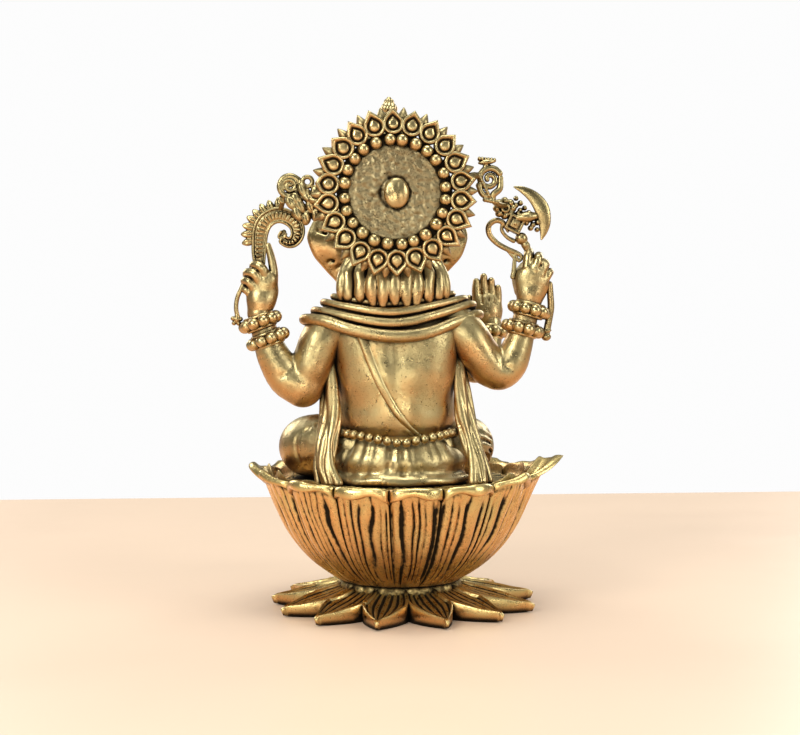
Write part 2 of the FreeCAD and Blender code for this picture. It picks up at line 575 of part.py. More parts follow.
# ---------------------------------------------------------------- goad, axe and scrolls
def build_attributes():
    rod = "Sizes.rod_radius"
    handle = strand("goad_rod", [(33.4, 4.5, 70.4), (34.4, 4.5, 67.4), (34.6, 4.5, 64.6), (34.2, 4.5, 62.0)],
                    rod, rod, across=BACK)
    node("goad_handle", handle)
    band = strand("goad_band", [
        (29.9, 4.5, 72.9), (30.6, 4.5, 76.5), (30.1, 4.5, 80.2), (28.2, 4.5, 82.8), (25.0, 4.5, 83.6),
        (22.2, 4.5, 82.4), (21.2, 4.5, 79.8), (22.4, 4.5, 77.6), (24.6, 4.5, 77.4), (25.7, 4.5, 78.9)],
        "1.35", "0.8", across=Vector(0, 1, 0), taper=0.55)
    scroll = node("goad", band)
    spikes = []
    for place in ((31.6, 77.0), (31.4, 79.6), (30.4, 82.0), (28.6, 84.0), (26.2, 85.0), (23.6, 84.9)):
        outward = Vector(place[0] - 25.8, 0, place[1] - 79.0).normalize()
        base = Vector(place[0], 4.5, place[1]) - outward * 1.2
        spikes.append(Part.makeCone(0.75, 0.2, 3.4, base, outward))

    shaft = strand("axe_rod", [
        (-31.1, 4.5, 58.0), (-32.0, 4.5, 61.5), (-32.2, 4.5, 65.0), (-31.0, 4.5, 69.0), (-28.6, 4.5, 73.0),
        (-26.9, 4.5, 76.4), (-25.4, 4.5, 79.6)], rod, rod, across=BACK)
    node("axe_shaft", shaft)
    thick = size("blade_thick")
    outer = Part.Arc(Vector(-24.3, 0, 89.4), Vector(-31.0, 0, 86.0), Vector(-30.6, 0, 78.4)).toShape()
    inner = Part.Arc(Vector(-30.6, 0, 78.4), Vector(-27.7, 0, 84.6), Vector(-24.3, 0, 89.4)).toShape()
    blade = doc.addObject("Part::Feature", "axe_blade_plate")
    blade.Shape = Part.Face(Part.Wire([outer, inner])).extrude(Vector(0, thick, 0))
    blade.Placement.Base = Vector(0, 4.5 - thick / 2, 0)
    boss = doc.addObject("Part::Box", "axe_block")
    boss.Length = 4.2
    boss.Width = 2.6
    boss.Height = 6.4
    boss.Placement = FreeCAD.Placement(Vector(-24.6, 3.2, 79.6), FreeCAD.Rotation(Vector(0, 1, 0), -32))
    node("axe_head", cut("axe_head", boss, [shaft]))
    node("axe_blade", cut("axe_blade", blade, [boss]))
    ribbon = strand("axe_ribbon_band", [
        (-22.6, 4.5, 83.0), (-20.2, 4.5, 82.6), (-18.6, 4.5, 80.4), (-19.8, 4.5, 77.6), (-22.6, 4.5, 76.0),
        (-25.2, 4.5, 75.2)], "0.55", "0.45", across=BACK)
    node("axe_ribbon", cut("axe_ribbon", ribbon, [boss, shaft]))
    doc.recompute()
    group("goad_leaves", [spike.cut(scroll.Shape) for spike in spikes])


def build_brackets():
    rim = Part.makeCylinder(size("halo_petal_ring") + 3.6, 6.0, HALO - BACK * 2, BACK)
    for label, ring, stem in (
            ("scroll_bracket_left", Vector(23.4, 11.6, 89.4), [(21.6, 11.6, 88.6), (18.0, 11.4, 86.0)]),
            ("scroll_bracket_right", Vector(-18.8, 11.6, 90.6), [(-17.2, 11.6, 89.6), (-13.0, 11.4, 88.4)])):
        curl = Part.makeTorus(1.9, 0.6, ring, BACK)
        start, end = Vector(*stem[0]), Vector(*stem[1])
        arm = Part.makeCylinder(0.8, start.distanceToPoint(end), start, end - start)
        solid = curl.fuse(arm).cut(rim)
        piece = doc.addObject("Part::Feature", label + "_scroll")
        piece.Shape = solid
        node(label, piece)


def build_offering(cupped_hand):
    bowl = revolved("sweet_bowl_turned", [
        ("0", "0"), ("1.6", "0"), ("3.0", "1.2"), ("3.3", "2.4"), ("2.8", "2.4"), ("2.4", "1.4"), ("0", "0.8")],
        Vector(8.4, -20.9, 52.0))
    nodes.pop("sweet_bowl_turned")
    node("sweet_bowl", cut("sweet_bowl", bowl, [cupped_hand, nodes["trunk"]]))
    bowl.Label = "sweet_bowl_turned"


# ---------------------------------------------------------------- assembly
def main():
    build_lotus()
    hips, torso = build_body()
    collar = build_dress(hips, torso)
    build_attributes()
    arms = build_arms(torso, collar, hips)
    build_bangles()
    cupped = build_hands(arms, nodes["goad_handle"], nodes["axe_shaft"])
    head = build_head(torso, collar)
    crown = build_crown(head)
    build_halo(crown)
    build_brackets()
    build_offering(cupped)
    doc.recompute()

    for obj in doc.Objects:
        broken = {"Invalid", "Error"} & set(obj.State)
        if broken:
            raise RuntimeError(f"{obj.Name} failed: {sorted(broken)}")
    for label, obj in nodes.items():
        if obj.Shape.isNull() or not obj.Shape.isValid() or not obj.Shape.Solids:
            raise RuntimeError(f"{label} is not a valid solid")
        box = obj.Shape.BoundBox
        print(f"{label:26s} solids {len(obj.Shape.Solids):3d} volume {obj.Shape.Volume:9.2f} "
              f"x {box.XMin:6.1f} {box.XMax:6.1f} y {box.YMin:6.1f} {box.YMax:6.1f} z {box.ZMin:6.1f} {box.ZMax:6.1f}")
    for label, obj in nodes.items():
        obj.Shape.exportStep(f"parts/{label}.step")
    print(len(nodes), "nodes")


main()
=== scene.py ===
import math

import bpy
import numpy as np
from mathutils import Euler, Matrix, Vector


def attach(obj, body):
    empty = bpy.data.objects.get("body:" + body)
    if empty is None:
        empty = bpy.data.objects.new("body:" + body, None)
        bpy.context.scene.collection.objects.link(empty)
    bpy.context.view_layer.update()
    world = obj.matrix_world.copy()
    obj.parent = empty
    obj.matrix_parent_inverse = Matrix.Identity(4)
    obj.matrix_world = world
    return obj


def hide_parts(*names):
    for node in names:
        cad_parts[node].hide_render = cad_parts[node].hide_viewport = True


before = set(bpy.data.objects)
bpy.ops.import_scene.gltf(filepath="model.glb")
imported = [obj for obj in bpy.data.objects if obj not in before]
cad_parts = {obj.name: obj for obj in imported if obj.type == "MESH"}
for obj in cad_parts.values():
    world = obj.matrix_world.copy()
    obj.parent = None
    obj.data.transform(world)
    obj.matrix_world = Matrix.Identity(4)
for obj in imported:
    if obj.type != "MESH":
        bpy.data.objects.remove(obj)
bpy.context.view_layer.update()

MM = 0.001
VOXEL_SCALE = 1.0
BLOCK = 4                       # voxels along a side of a coarse block
FLOOR = 0.0


# ================================================================ distance fields
def row(*values):
    return np.array(values, np.float32)


def around(count, shift=0.0):
    """Angles of count places spread evenly round a circle, the first moved on by a share of their pitch."""
    return [2 * math.pi * (number + shift) / count for number in range(count)]


def spun_about_z(points, angle):
    """Points turned about +Z."""
    c, n = math.cos(angle), math.sin(angle)
    x, y, z = points.T
    return np.stack([x * c - y * n, x * n + y * c, z], 1)


def turned(degrees):
    """Rotation matrix, as an array, from X, Y and Z angles in degrees."""
    return np.array(Euler([math.radians(a) for a in degrees]).to_matrix(), np.float32)


def egg(centre, half, turn=(0, 0, 0)):
    """Ellipsoid as (distance function, low corner, high corner)."""
    centre, half = row(*centre), row(*half)
    spin = turned(turn)

    def distance(p):
        q = (p - centre) @ spin
        near = np.linalg.norm(q / half, axis=1)
        far = np.linalg.norm(q / (half * half), axis=1) + 1e-6
        return near * (near - 1.0) / far
    reach = np.abs(spin) @ half
    return distance, centre - reach, centre + reach


def slab(centre, half, turn=(0, 0, 0), edge=0.2):
    """Box with rounded edges."""
    centre, half = row(*centre), row(*half)
    spin = turned(turn)

    def distance(p):
        q = np.abs((p - centre) @ spin) - (half - edge)
        outside = np.linalg.norm(np.maximum(q, 0), axis=1)
        return (outside + np.minimum(q.max(axis=1), 0) - edge).astype(np.float32)
    reach = np.abs(spin) @ half
    return distance, centre - reach, centre + reach


def hoop(centre, radius, thick, axis=(0, 1, 0)):
    """Torus about an axis."""
    centre = row(*centre)
    axis = row(*axis) / np.linalg.norm(axis)

    def distance(p):
        q = p - centre
        along = q @ axis
        out = np.linalg.norm(q - along[:, None] * axis, axis=1) - radius
        return np.sqrt(out * out + along * along) - thick
    reach = np.full(3, radius + thick, np.float32)
    return distance, centre - reach, centre + reach


def curve(points, steps=6):
    """Smooth run of points through hand-set ones (Catmull-Rom), with columns such as radii carried along."""
    points = np.array(points, np.float64)
    padded = np.vstack([2 * points[0] - points[1], points, 2 * points[-1] - points[-2]])
    out = []
    for i in range(1, len(padded) - 2):
        a, b, c, d = padded[i - 1:i + 3]
        for t in np.arange(steps) / steps:
            out.append(0.5 * (2 * b + (c - a) * t + (2 * a - 5 * b + 4 * c - d) * t ** 2
                              + (3 * b - a - 3 * c + d) * t ** 3))
    out.append(padded[-2])
    return np.array(out, np.float32)


def chain_distance(p, path, radii):
    best = np.full(len(p), 1e3, np.float32)
    for a, b, ra, rb in zip(path, path[1:], radii, radii[1:]):
        run = b - a
        t = np.clip(((p - a) @ run) / max(float(run @ run), 1e-9), 0, 1)
        best = np.minimum(best, np.linalg.norm(p - a - t[:, None] * run, axis=1) - (ra + t * (rb - ra)))
    return best


def tube(stations, flat=(1, 1, 1), steps=5):
    """Rounded limb or cord through (x, y, z, radius) stations; flat thins it along an axis."""
    track = curve(stations, steps)
    flat = row(*flat)
    path, radii = track[:, :3] * flat, np.maximum(track[:, 3], 0.05)
    loss = float(np.sqrt(flat.max()))

    def distance(p):
        return chain_distance(p * flat, path, radii) / loss
    reach = (radii[:, None] / flat)
    return distance, (track[:, :3] - reach).min(0), (track[:, :3] + reach).max(0)


def groove(points, width, depth):
    """Engraved line: an amount to take off the surface near a run of points."""
    track = curve(points, 4)

    def amount(p):
        away = chain_distance(p, track, np.zeros(len(track)))
        return depth * np.exp(-(away / width) ** 2)
    return amount, track.min(0) - 2 * width, track.max(0) + 2 * width


class Clay:
    """A form built up from strokes, each (mode, function, low corner, high corner, softness)."""

    def __init__(self, voxel):
        self.voxel = voxel * VOXEL_SCALE
        self.strokes = []

    def stroke(self, mode, shape, soft=0.0):
        function, low, high = shape
        self.strokes.append((mode, function, np.array(low, np.float32), np.array(high, np.float32), soft))

    def add(self, shape, soft=0.4):
        self.stroke("add", shape, soft)

    def carve(self, shape, soft=0.2):
        self.stroke("carve", shape, soft)

    def engrave(self, shape):
        self.stroke("engrave", shape)

    def above(self, level):
        """Cut flat below a height."""
        self.stroke("level", (None, (-99, -99, level), (99, 99, level)), level)

    def field(self, p, reach=2.0):
        d = np.full(len(p), 30.0, np.float32)
        for mode, function, low, high, soft in self.strokes:
            if mode == "level":
                d = np.maximum(d, soft - p[:, 2])
                continue
            margin = (soft if mode != "engrave" else 0.0) + reach
            near = np.flatnonzero(((p > low - margin) & (p < high + margin)).all(axis=1))
            if not len(near):
                continue
            value, old = function(p[near]), d[near]
            if mode == "engrave":
                d[near] = old + value
                continue
            if mode == "carve":
                old = -old
            mix = np.maximum(soft - np.abs(value - old), 0) / max(soft, 1e-6)
            joined = np.minimum(value, old) - mix * mix * soft * 0.25
            d[near] = -joined if mode == "carve" else joined
        return d

    def extent(self):
        solid = [s for s in self.strokes if s[0] == "add"]
        return np.min([s[2] for s in solid], axis=0), np.max([s[3] for s in solid], axis=0)

    def mesh(self):
        """Vertices, outward quads and hollowness of the zero surface."""
        step = self.voxel
        side = step * BLOCK
        low, high = self.extent()
        low = low - 2 * step
        blocks = np.ceil((high - low + 2 * step) / side).astype(int)
        centres = [low[i] + (np.arange(blocks[i]) + 0.5) * side for i in range(3)]
        grid = np.stack(np.meshgrid(*centres, indexing="ij"), -1).reshape(-1, 3).astype(np.float32)
        rough = self.field(grid, 2.2 * side).reshape(blocks)
        active = np.abs(rough) < 1.35 * side
        wide = active.repeat(BLOCK, 0).repeat(BLOCK, 1).repeat(BLOCK, 2)
        size = blocks * BLOCK + 1
        nodes = np.zeros(size, bool)
        for i in (0, 1):
            for j in (0, 1):
                for k in (0, 1):
                    nodes[i:size[0] - 1 + i, j:size[1] - 1 + j, k:size[2] - 1 + k] |= wide
        filled = np.pad(rough.repeat(BLOCK, 0).repeat(BLOCK, 1).repeat(BLOCK, 2), ((0, 1),) * 3, mode="edge")
        where = np.argwhere(nodes)
        points = (low + where * step).astype(np.float32)
        values = np.concatenate([self.field(part, 1.4 * side)
                                 for part in np.array_split(points, len(points) // 400000 + 1)])
        filled[nodes] = values
        for axis in range(3):
            edge = [slice(None)] * 3
            for end in (0, -1):
                edge[axis] = end
                filled[tuple(edge)] = np.maximum(filled[tuple(edge)], 0.01)
        vertices, quads = surface_nets(filled, low, step)
        normals = vertex_normals(vertices, quads)
        # hollowness: how closed-in the surface is round each vertex; the brass finishes paint shade and
        # tarnish from it
        hollow = np.zeros(len(vertices), np.float32)
        for away, weight in ((0.45, 0.6), (1.3, 0.4)):
            gap = 1 - self.field((vertices + normals * away).astype(np.float32), away * 1.5) / away
            hollow += weight * np.clip(gap, -0.5, 1.4)
        return vertices, quads, hollow


def surface_nets(field, low, step):
    """Quad mesh of the zero surface of a sampled field (naive surface nets)."""
    inside = field < 0
    shape = np.array(field.shape) - 1
    offsets = [(i, j, k) for i in (0, 1) for j in (0, 1) for k in (0, 1)]
    count = np.zeros(shape, np.int8)
    for i, j, k in offsets:
        count += inside[i:shape[0] + i, j:shape[1] + j, k:shape[2] + k]
    cells = (count > 0) & (count < 8)
    index = np.argwhere(cells)
    number = np.full(shape, -1, np.int64)
    number[cells] = np.arange(len(index))
    corner = [field[tuple((index + o).T)] for o in offsets]
    total = np.zeros((len(index), 3))
    hits = np.zeros(len(index))
    for a, first in enumerate(offsets):
        for b in range(a + 1, 8):
            second = offsets[b]
            if sum(abs(m - n) for m, n in zip(first, second)) != 1:
                continue
            crossing = (corner[a] < 0) != (corner[b] < 0)
            t = np.where(crossing, corner[a] / np.where(crossing, corner[a] - corner[b], 1), 0)
            place = np.array(first) + t[:, None] * (np.array(second) - np.array(first))
            total += place * crossing[:, None]
            hits += crossing
    vertices = low + (index + total / hits[:, None]) * step
    quads = []
    for axis in range(3):
        ahead = [slice(None)] * 3
        behind = [slice(None)] * 3
        ahead[axis], behind[axis] = slice(1, None), slice(None, -1)
        change = inside[tuple(behind)] != inside[tuple(ahead)]
        edges = np.argwhere(change)
        u, v = (axis + 1) % 3, (axis + 2) % 3
        good = (edges[:, u] > 0) & (edges[:, v] > 0) & (edges[:, u] < shape[u]) & (edges[:, v] < shape[v])
        edges = edges[good]
        ring = []
        for du, dv in ((1, 1), (0, 1), (0, 0), (1, 0)):
            cell = edges.copy()
            cell[:, u] -= du
            cell[:, v] -= dv
            ring.append(number[tuple(cell.T)])
        ring = np.stack(ring, 1)
        outward = inside[tuple(edges.T)]
        ring[~outward] = ring[~outward][:, ::-1]
        quads.append(ring)
    return vertices, np.concatenate(quads)


def vertex_normals(vertices, quads):
    across = np.cross(vertices[quads[:, 2]] - vertices[quads[:, 0]],
                      vertices[quads[:, 3]] - vertices[quads[:, 1]])
    normals = np.zeros_like(vertices)
    for side in range(3):
        for axis in range(4):
            normals[:, side] += np.bincount(quads[:, axis], across[:, side], len(vertices))
    return normals / np.maximum(np.linalg.norm(normals, axis=1), 1e-9)[:, None]


# ================================================================ meshes
def mesh_piece(name, vertices, quads, hollow):
    """Blender object from millimetre arrays, smooth shaded, with its hollowness as an attribute."""
    mesh = bpy.data.meshes.new(name)
    loops = quads.ravel()
    starts = np.arange(len(quads)) * 4
    mesh.vertices.add(len(vertices))
    mesh.vertices.foreach_set("co", (np.asarray(vertices, np.float64) * MM).astype(np.float32).ravel())
    mesh.loops.add(len(loops))
    mesh.loops.foreach_set("vertex_index", loops.astype(np.int32))
    mesh.polygons.add(len(starts))
    mesh.polygons.foreach_set("loop_start", starts.astype(np.int32))
    mesh.update(calc_edges=True)
    mesh.validate()
    mesh.shade_smooth()
    layer = mesh.attributes.new("hollow", "FLOAT", "POINT")
    layer.data.foreach_set("value", np.asarray(hollow, np.float32))
    piece = bpy.data.objects.new(name, mesh)
    bpy.context.scene.collection.objects.link(piece)
    return piece


def place(piece, node, finish):
    """Material, body and replaced CAD node of a finished piece."""
    piece.data.materials.append(finish)
    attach(piece, "root")
    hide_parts(node)


def sculpt(node, clay, finish):
    """Finished piece from modelled clay."""
    place(mesh_piece(node + "_cast", *clay.mesh()), node, finish)


def grid_quads(rows, columns, wrap=False, start=0):
    """Quads of a rows by columns sheet of vertices, closed across the columns if wrap."""
    i, j = np.meshgrid(np.arange(rows - 1), np.arange(columns if wrap else columns - 1), indexing="ij")
    k = (j + 1) % columns
    return (np.stack([i * columns + j, i * columns + k, (i + 1) * columns + k, (i + 1) * columns + j], -1)
            .reshape(-1, 4) + start)


class Parts:
    """Collects several closed meshes into one piece."""

    def __init__(self):
        self.vertices, self.quads, self.hollow = [], [], []
        self.count = 0

    def put(self, vertices, quads, hollow):
        self.vertices.append(np.asarray(vertices, np.float64))
        self.quads.append(np.asarray(quads) + self.count)
        self.hollow.append(np.broadcast_to(np.asarray(hollow, np.float32), (len(vertices),)))
        self.count += len(vertices)

    def piece(self, node, finish):
        made = mesh_piece(node + "_cast", *map(np.concatenate, (self.vertices, self.quads, self.hollow)))
        place(made, node, finish)


def plate(top, bottom, hollow_top, hollow_bottom=0.0):
    """Closed plate between two sheets of equal rows and columns, as (vertices, quads, hollowness)."""
    rows, columns = top.shape[:2]
    count = rows * columns
    vertices = np.concatenate([top.reshape(-1, 3), bottom.reshape(-1, 3)])
    upper = grid_quads(rows, columns)
    lower = grid_quads(rows, columns, start=count)[:, ::-1]
    around = np.concatenate([np.arange(columns), np.arange(1, rows) * columns + columns - 1,
                             (rows - 1) * columns + np.arange(columns - 2, -1, -1),
                             np.arange(rows - 2, 0, -1) * columns])
    following = np.roll(around, -1)
    wall = np.stack([around, around + count, following + count, following], 1)
    hollow = np.concatenate([np.broadcast_to(hollow_top, (rows, columns)).ravel(),
                             np.broadcast_to(hollow_bottom, (rows, columns)).ravel()])
    return vertices, np.concatenate([upper, lower, wall]), hollow


def lathe(profile, steps=96, bulge=None):
    """Closed turned form from (radius, height) points; bulge(radius, height, angle) alters the radius."""
    profile = np.array(profile, float)
    angle = np.arange(steps) * 2 * math.pi / steps
    radius, height = np.broadcast_arrays(profile[:, :1], profile[:, 1:])
    turn = np.broadcast_to(angle, (len(profile), steps))
    radius = np.broadcast_to(radius, turn.shape)
    height = np.broadcast_to(height, turn.shape)
    if bulge is not None:
        radius = radius + bulge(radius, height, turn)
    vertices = np.stack([radius * np.cos(turn), radius * np.sin(turn), height], -1).reshape(-1, 3)
    return vertices, grid_quads(len(profile), steps, wrap=True)


def dome_bead(radius, rings=9, sides=16, flat=1.0):
    """Small closed ball, slightly flattened along Z."""
    polar = np.linspace(0.02, math.pi - 0.02, rings)
    profile = np.stack([radius * np.sin(polar), -radius * flat * np.cos(polar)], 1)
    return lathe(profile, sides)


def aim(direction, across=(0, 1, 0)):
    """Columns X, Y, Z of a frame whose Z is direction and whose X is as near as may be to across."""
    z = np.array(direction, float)
    z /= np.linalg.norm(z)
    x = np.array(across, float) - z * np.dot(across, z)
    x /= np.linalg.norm(x)
    return np.stack([x, np.cross(z, x), z], 1)


# ================================================================ materials
def cast_brass(name, lit_colour, shade_and_reflection_colour, shine=0.26, grain=0.25, pits=0.35, shade_and_tarnish=1.0):
    """Polished cast brass with light and shade painted into its colour: faces turned up, forwards and
    backwards get the lit colour, faces turned sideways and down get the coppery colour of painted shade and
    warm floor reflection, with random drift; gaps and hollows are painted dark as shade and as the brass's
    own tarnish; pits and a grainy skin.
    """
    material = bpy.data.materials.new(name)
    material.use_nodes = True
    nodes, links = material.node_tree.nodes, material.node_tree.links
    shader = nodes["Principled BSDF"]
    shader.inputs["Metallic"].default_value = 1.0

    def noise(scale, detail=3.0, rough=0.55):
        texture = nodes.new("ShaderNodeTexNoise")
        texture.inputs["Scale"].default_value = scale
        texture.inputs["Detail"].default_value = detail
        texture.inputs["Roughness"].default_value = rough
        links.new(place_in.outputs["Object"], texture.inputs["Vector"])
        return texture.outputs["Fac"]

    def spread(source, low, high, out_low=0.0, out_high=1.0):
        ranged = nodes.new("ShaderNodeMapRange")
        ranged.inputs["From Min"].default_value = low
        ranged.inputs["From Max"].default_value = high
        ranged.inputs["To Min"].default_value = out_low
        ranged.inputs["To Max"].default_value = out_high
        links.new(source, ranged.inputs["Value"])
        return ranged.outputs["Result"]

    def blend(factor, first, second):
        mix = nodes.new("ShaderNodeMix")
        mix.data_type = "RGBA"
        links.new(factor, mix.inputs["Factor"])
        for socket, value in ((mix.inputs["A"], first), (mix.inputs["B"], second)):
            if isinstance(value, tuple):
                socket.default_value = (*value, 1)
            else:
                links.new(value, socket)
        return mix.outputs["Result"]

    def work(operation, *values, clamp=False):
        sum_node = nodes.new("ShaderNodeMath")
        sum_node.operation = operation
        sum_node.use_clamp = clamp
        for socket, value in zip(sum_node.inputs, values):
            if isinstance(value, float):
                socket.default_value = value
            else:
                links.new(value, socket)
        return sum_node.outputs["Value"]

    place_in = nodes.new("ShaderNodeTexCoord")
    surface = nodes.new("ShaderNodeNewGeometry")
    facing = nodes.new("ShaderNodeSeparateXYZ")
    links.new(surface.outputs["Normal"], facing.inputs["Vector"])
    # painted light: each face's colour follows the way it points, the lit colour where it faces up, forwards
    # and backwards, the shade and reflection colour where it faces sideways and down, with noise for random
    # drift
    sideways = work("MULTIPLY", work("ABSOLUTE", facing.outputs["Y"]), 0.62)
    lit = work("ADD", sideways, work("MULTIPLY", facing.outputs["Z"], 0.75))
    drift = spread(work("ADD", lit, spread(noise(95, 4, 0.6), 0.3, 0.7, -0.32, 0.32)), 0.68, 0.10)
    metal = blend(drift, lit_colour, shade_and_reflection_colour)
    metal = blend(spread(noise(230, 4, 0.65), 0.5, 0.75, 0.0, 0.35), metal, tuple(0.62 * c for c in lit_colour))

    # painted shade: the hollow attribute and the ambient occlusion node darken creases, hollows and the gaps
    # between touching parts, where shade falls; part of this darkening stands for the brass's own tarnish
    hollow = nodes.new("ShaderNodeAttribute")
    hollow.attribute_name = "hollow"
    shade = nodes.new("ShaderNodeAmbientOcclusion")
    shade.samples = 8
    shade.inputs["Distance"].default_value = 2.0 * MM
    gap_shade_and_tarnish = spread(shade.outputs["AO"], 0.76, 0.38)
    ragged = spread(noise(900, 3), 0.3, 0.7, -0.12, 0.12)
    hollow_shade_and_tarnish = spread(work("ADD", hollow.outputs["Fac"], ragged), 0.30, 0.62)
    pit = spread(noise(2100, 2, 0.5), 0.665, 0.73, 0.0, pits)
    speckle = spread(noise(3000, 2, 0.6), 0.54, 0.68, 0.0, 0.42)
    worn = spread(noise(60, 3), 0.42, 0.60)
    pit = work("MAXIMUM", pit, work("MULTIPLY", speckle, worn))
    dark = work("MAXIMUM", work("MULTIPLY", gap_shade_and_tarnish, shade_and_tarnish), work("MULTIPLY", hollow_shade_and_tarnish, shade_and_tarnish))
    shade_and_dirt = work("MAXIMUM", dark, pit, clamp=True)
    # base colour: the metal blended towards near black by the painted shade, the tarnish and the pits
    links.new(blend(shade_and_dirt, metal, (0.022, 0.016, 0.010)), shader.inputs["Base Color"])
    rougher_where_shaded_and_pitted = work("MULTIPLY", shade_and_dirt, 0.34)
    polish = spread(noise(420, 4), 0.3, 0.75, shine - 0.07, shine + 0.13)
    links.new(work("ADD", polish, rougher_where_shaded_and_pitted), shader.inputs["Roughness"])

    skin = nodes.new("ShaderNodeBump")
    skin.inputs["Distance"].default_value = 0.22 * MM
    skin.inputs["Strength"].default_value = grain
    cast_skin = work("ADD", noise(430, 5, 0.62), work("MULTIPLY", noise(1600, 2), 0.45))
    uneven = work("ADD", cast_skin, work("MULTIPLY", noise(170, 2), 1.3))
    links.new(work("SUBTRACT", uneven, pit), skin.inputs["Height"])
    links.new(skin.outputs["Normal"], shader.inputs["Normal"])
    return material


FIGURE = cast_brass("figure_brass", (0.405, 0.328, 0.160), (0.50, 0.275, 0.110), shine=0.31, grain=0.42,
                    pits=0.7)
ORNAMENT = cast_brass("ornament_brass", (0.43, 0.350, 0.172), (0.51, 0.300, 0.125), shine=0.27, grain=0.2)
AGED = cast_brass("attribute_brass", (0.32, 0.262, 0.128), (0.39, 0.235, 0.095), shine=0.28, grain=0.25,
                  shade_and_tarnish=1.25)
LOTUS = cast_brass("lotus_brass", (0.58, 0.45, 0.19), (0.70, 0.385, 0.145), shine=0.28, grain=0.38, pits=0.6)
FIELD = cast_brass("halo_field_brass", (0.28, 0.230, 0.124), (0.22, 0.165, 0.085), shine=0.40, grain=1.0,
                   pits=0.8)


def plain_finish(name, colour, metallic, scale, smooth, rough):
    """Even colour with a roughness that drifts between two values."""
    material = bpy.data.materials.new(name)
    material.use_nodes = True
    nodes, links = material.node_tree.nodes, material.node_tree.links
    shader = nodes["Principled BSDF"]
    shader.inputs["Metallic"].default_value = metallic
    shader.inputs["Base Color"].default_value = (*colour, 1)
    texture = nodes.new("ShaderNodeTexNoise")
    texture.inputs["Scale"].default_value = scale
    drift = nodes.new("ShaderNodeMapRange")
    drift.inputs["To Min"].default_value = smooth
    drift.inputs["To Max"].default_value = rough
    links.new(texture.outputs["Fac"], drift.inputs["Value"])
    links.new(drift.outputs["Result"], shader.inputs["Roughness"])
    return material


STEEL = plain_finish("steel_fixing", (0.55, 0.55, 0.56), 1.0, 900, 0.3, 0.5)


# ================================================================ the lotus
WAIST_Z = 7.0
RIM_Z = 27.4
SEAT_Z = 26.9                           # the level that the figure rests on
CAMERA_SIDE = 85.0                      # degrees from +X to the direction of the main view


def bowl_radius(rise):
    """Outside radius of the bowl at a share of its height."""
    return 13.0 + 15.5 * (1 - (1 - np.clip(rise, 0, 1)) ** (2.6 - 1.35 * np.asarray(rise)))


def ridges(across, count, sharp=3.0):
    """0 on ridges, 1 in the narrow grooves between them, for across from -1 to 1."""
    return np.abs(np.sin(across * count * math.pi / 2)) ** sharp


def build_foot():
    """Turned hub with a knobbed collar."""
    def knobs(radius, height, angle):
        return 0.35 * np.cos(26 * angle) * np.clip((height - 3.6) / 2, 0, 1)
    profile = [(0.02, 0.1), (6, 0.1), (12.2, 0.1), (12.6, 1.5), (12.8, 3.0), (13.0, 4.4), (13.1, 5.1),
               (12.7, 5.8), (12.0, 6.3), (6, 6.98), (0.02, 6.98)]
    hub = Parts()
    vertices, quads = lathe(profile, 208, knobs)
    # painted shade: the knobbed upper band, where it meets the bowl, is marked darker
    hub.put(vertices, quads, np.where(vertices[:, 2] > 4.2, 0.5, 0.1))
    hub.piece("lotus_foot", LOTUS)


def build_foot_petals():
    """Veined petals that lie on the table."""
    rng = np.random.default_rng(3)
    rows, columns = 58, 49
    petals = Parts()
    for number in range(13):
        azimuth = math.radians(77.0 + 360.0 / 13 * number + rng.uniform(-2.0, 2.0))
        reach = 28.0 + rng.uniform(-0.8, 0.4) + 1.6 * max(-math.cos(azimuth), 0) ** 2
        girth = rng.uniform(0.95, 1.05)
        s = np.linspace(0, 1, rows)[:, None]
        t = np.linspace(-1, 1, columns)[None, :]
        run = 11.4 + (reach - 11.4) * s
        narrowing = np.maximum(1 - np.clip((s - 0.40) / 0.60, 0, 1) ** 1.55, 0)
        half = 4.6 * girth * (0.66 + 0.34 * np.sin(np.clip(s / 0.40, 0, 1) * math.pi / 2)) * narrowing
        half = np.maximum(half, 0.45)
        rim = 0.50 * np.exp(-((1 - np.abs(t)) / 0.20) ** 2) * (1 - s ** 5) + 0.42 * s ** 5
        veins = ridges(t * 0.92, 7) * np.clip((1 - np.abs(t)) / 0.2, 0, 1) * np.clip((0.93 - s) / 0.12, 0, 1)
        spine = 5.5 - 2.9 * np.clip(s * 1.25, 0, 1) ** 0.75 - 0.85 * s ** 5
        top = spine + rim - 0.42 * veins - 0.5 * (1 - t * t) * np.clip(s * 3, 0, 1) * (1 - s ** 5)
        edge = np.clip((np.abs(t) - 0.90) / 0.10, 0, 1)
        top = top - 0.45 * edge ** 2 - 0.5 * np.clip((s - 0.95) / 0.05, 0, 1) ** 2
        y = half * np.sign(t) * np.abs(t) ** 0.92
        nose = 0.55 * np.sqrt(np.maximum(1 - (t * 0.99) ** 2, 0)) * s ** 20
        top_sheet = np.stack(np.broadcast_arrays(run + nose, y, top), -1)
        low = 0.05 + 0.3 * s ** 14 + 0 * t
        tuck = 0.01 + 0.30 * s ** 8
        bottom_sheet = np.stack(np.broadcast_arrays(run + nose * 0.6 - 0.35 * s ** 12, y * (1 - tuck), low),
                                -1)
        # painted shade: darker in the vein grooves, and the petals darker towards the hub, under the bowl
        vertices, quads, hollow = plate(top_sheet, bottom_sheet,
                                        0.95 * veins - 0.5 * rim + 0.12 * (1 - s) ** 2, 0.1)
        petals.put(spun_about_z(vertices, azimuth), quads, hollow)
    petals.piece("foot_petals", LOTUS)


